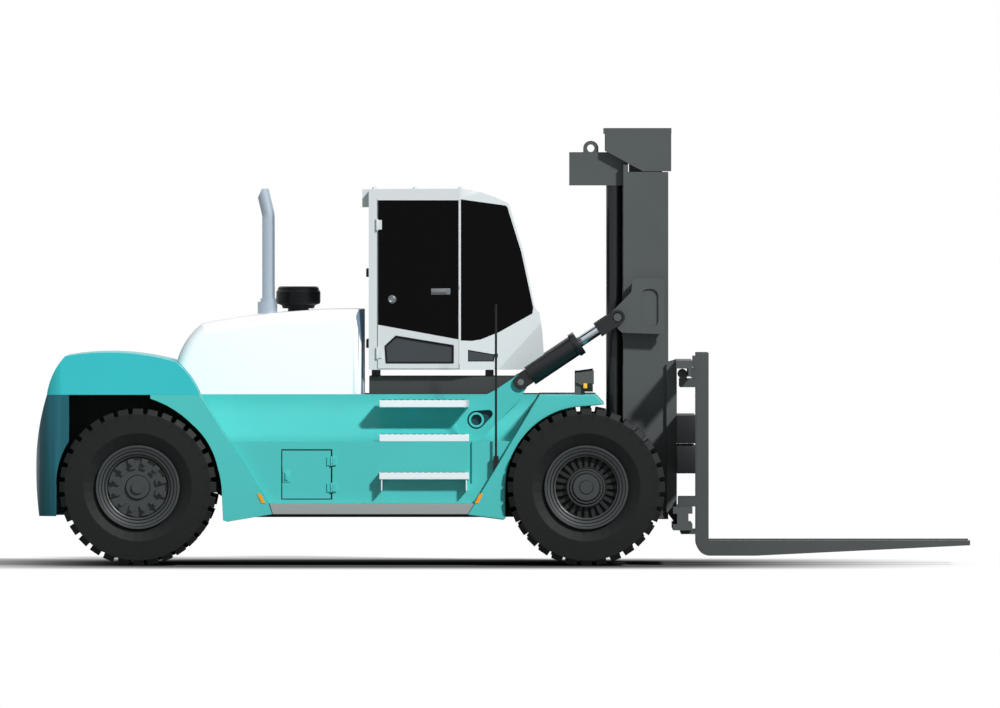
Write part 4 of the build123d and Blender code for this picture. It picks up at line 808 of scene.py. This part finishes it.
def arm_recess(bm, sign):
    for x, z, radius in RECESS_ROUNDS:
        for i in range(RECESS_STEPS):
            a = 2 * math.pi * i / RECESS_STEPS
            for y in (RECESS_FLOOR_Y - RECESS_BELOW, RECESS_FLOOR_Y + RECESS_ABOVE):
                bm.verts.new((x + radius * math.cos(a), sign * y, z + radius * math.sin(a)))
    bmesh.ops.convex_hull(bm, input=bm.verts)


mirrored("tilt_arm_recess", "recess_painted_shadow", "chassis", arm_recess)

# A rail under the cab's nose

RAIL_TOP_LEFT = (502.8, 366.8)
RAIL_LOW_RIGHT = (524.8, 370.2)
RAIL_HALF_WIDTH = 0.42
RAIL_EDGE = 0.004

bm = bmesh.new()
left, top = at_pixel(*RAIL_TOP_LEFT)
right, low = at_pixel(*RAIL_LOW_RIGHT)
add_box(bm, (left, -RAIL_HALF_WIDTH, low), (right, RAIL_HALF_WIDTH, top), RAIL_EDGE)
piece("nose_rail", bm, "black_paint", "chassis")

# Caps on the tilt cylinders' pins: inner y, outer y and radius of the cap and its nipple

PIN_CAP_PARTS = ((0.810, 0.816, 0.030), (0.816, 0.828, 0.008))


def pin_caps(bm, sign):
    for inner_y, outer_y, radius in PIN_CAP_PARTS:
        start = (TILT_PIN_X, sign * inner_y, TILT_PIN_Z)
        end = (TILT_PIN_X, sign * outer_y, TILT_PIN_Z)
        add_round(bm, start, end, radius, sides=PIN_SIDES)


mirrored("tilt_pin_caps", "bolt_steel", "tilt_barrel_{side}", pin_caps)

# Camera: far away with a long lens, because the photograph is nearly without perspective

LENS = 1000
SENSOR_WIDTH = 36
CLIP_END = 1000
DISTANCE = 263.53
ELEVATION = math.radians(0.4)
AIM = Vector((-0.0344, -1.1, 2.0046))

scene = bpy.context.scene
camera_data = bpy.data.cameras.new("camera")
camera = bpy.data.objects.new("camera", camera_data)
scene.collection.objects.link(camera)
camera_data.lens = LENS
camera_data.sensor_width = SENSOR_WIDTH
camera_data.clip_end = CLIP_END
camera.location = AIM + DISTANCE * Vector((0, -math.cos(ELEVATION), math.sin(ELEVATION)))
camera.rotation_euler = (math.pi / 2 - ELEVATION, 0, 0)
scene.camera = camera
scene.view_settings.view_transform = "Standard"

# Lights: one soft sun from the front right, and a weak white world that looks full white

SUN_ENERGY = 3.45
SUN_ANGLE = 5
SUN_FROM = (0.49, -0.66, 0.58)
WORLD_LIT = 0.2
WORLD_SEEN = 1.0
WHITE = (1, 1, 1, 1)

sun_data = bpy.data.lights.new("key", "SUN")
sun_data.energy = SUN_ENERGY
sun_data.angle = math.radians(SUN_ANGLE)
sun = bpy.data.objects.new("key", sun_data)
sun.rotation_euler = Vector(SUN_FROM).to_track_quat("Z", "Y").to_euler()
scene.collection.objects.link(sun)


def math_node(tree, operation, first, second=None):
    """A maths node: each input is a socket or a number."""
    made = tree.nodes.new("ShaderNodeMath")
    made.operation = operation
    for i, value in enumerate((first, second)):
        if isinstance(value, bpy.types.NodeSocket):
            tree.links.new(value, made.inputs[i])
        elif value is not None:
            made.inputs[i].default_value = value
    return made.outputs[0]


world = bpy.data.worlds.new("studio")
scene.world = world
world.use_nodes = True
tree = world.node_tree
tree.nodes.clear()
path = tree.nodes.new("ShaderNodeLightPath")
lit, seen = (tree.nodes.new("ShaderNodeBackground") for _ in range(2))
for shade, strength in ((lit, WORLD_LIT), (seen, WORLD_SEEN)):
    shade.inputs["Color"].default_value = WHITE
    shade.inputs["Strength"].default_value = strength
direct = math_node(
    tree, "MAXIMUM", path.outputs["Is Camera Ray"], path.outputs["Is Transmission Ray"])
any_seen = math_node(tree, "MAXIMUM", direct, path.outputs["Is Glossy Ray"])
mix = tree.nodes.new("ShaderNodeMixShader")
world_out = tree.nodes.new("ShaderNodeOutputWorld")
tree.links.new(any_seen, mix.inputs["Fac"])
tree.links.new(lit.outputs[0], mix.inputs[1])
tree.links.new(seen.outputs[0], mix.inputs[2])
tree.links.new(mix.outputs[0], world_out.inputs["Surface"])

# Floor: it looks white to the camera, with a soft dark patch of painted shadow that fades away
# from the truck

FLOOR_SIZE = 60
FLOOR_DROP = 0.001
FLOOR_GLOW = 0.50
FLOOR_GREY = (0.62, 0.62, 0.62, 1)
PAINTED_SHADOW_GREY = (0.12, 0.12, 0.12, 1)
PATCH_CENTRE = (-0.9, 0.0)
PATCH_REACH = (4.1, 3.2)
PATCH_SOFTNESS = 0.36
PATCH_SQUARENESS = 4.0

floor_bm = bmesh.new()
bmesh.ops.create_grid(floor_bm, x_segments=1, y_segments=1, size=FLOOR_SIZE)
floor_mesh = bpy.data.meshes.new("floor")
floor_bm.to_mesh(floor_mesh)
floor_bm.free()
floor = bpy.data.objects.new("floor", floor_mesh)
scene.collection.objects.link(floor)
floor.location = (0, 0, -FLOOR_DROP)

floor_look = bpy.data.materials.new("floor")
floor_look.use_nodes = True
tree = floor_look.node_tree
tree.nodes.clear()
path = tree.nodes.new("ShaderNodeLightPath")
matt = tree.nodes.new("ShaderNodeBsdfDiffuse")
glow = tree.nodes.new("ShaderNodeEmission")
place = tree.nodes.new("ShaderNodeTexCoord")
split = tree.nodes.new("ShaderNodeSeparateXYZ")
tree.links.new(place.outputs["Object"], split.inputs[0])
powers = []
for axis, centre, reach in zip("XY", PATCH_CENTRE, PATCH_REACH):
    offset = math_node(tree, "SUBTRACT", split.outputs[axis], centre)
    share = math_node(tree, "ABSOLUTE", math_node(tree, "DIVIDE", offset, reach))
    powers.append(math_node(tree, "POWER", share, PATCH_SQUARENESS))
distance = math_node(tree, "POWER", math_node(tree, "ADD", *powers), 1 / PATCH_SQUARENESS)
fade = tree.nodes.new("ShaderNodeMapRange")
fade.interpolation_type = "SMOOTHSTEP"
fade.inputs["From Min"].default_value = 1 - PATCH_SOFTNESS
fade.inputs["From Max"].default_value = 1 + PATCH_SOFTNESS
tree.links.new(distance, fade.inputs["Value"])
tint = tree.nodes.new("ShaderNodeMix")
tint.data_type = "RGBA"
tint.inputs["A"].default_value = PAINTED_SHADOW_GREY
tint.inputs["B"].default_value = FLOOR_GREY
tree.links.new(fade.outputs[0], tint.inputs["Factor"])
tree.links.new(tint.outputs["Result"], matt.inputs["Color"])
# The glow seen by the camera fades inside the painted shadow patch as well
seen_glow = math_node(tree, "MULTIPLY", path.outputs["Is Camera Ray"], FLOOR_GLOW)
tree.links.new(
    math_node(tree, "MULTIPLY", seen_glow, fade.outputs[0]), glow.inputs["Strength"])
total = tree.nodes.new("ShaderNodeAddShader")
floor_out = tree.nodes.new("ShaderNodeOutputMaterial")
tree.links.new(matt.outputs[0], total.inputs[0])
tree.links.new(glow.outputs[0], total.inputs[1])
tree.links.new(total.outputs[0], floor_out.inputs["Surface"])
floor_mesh.materials.append(floor_look)
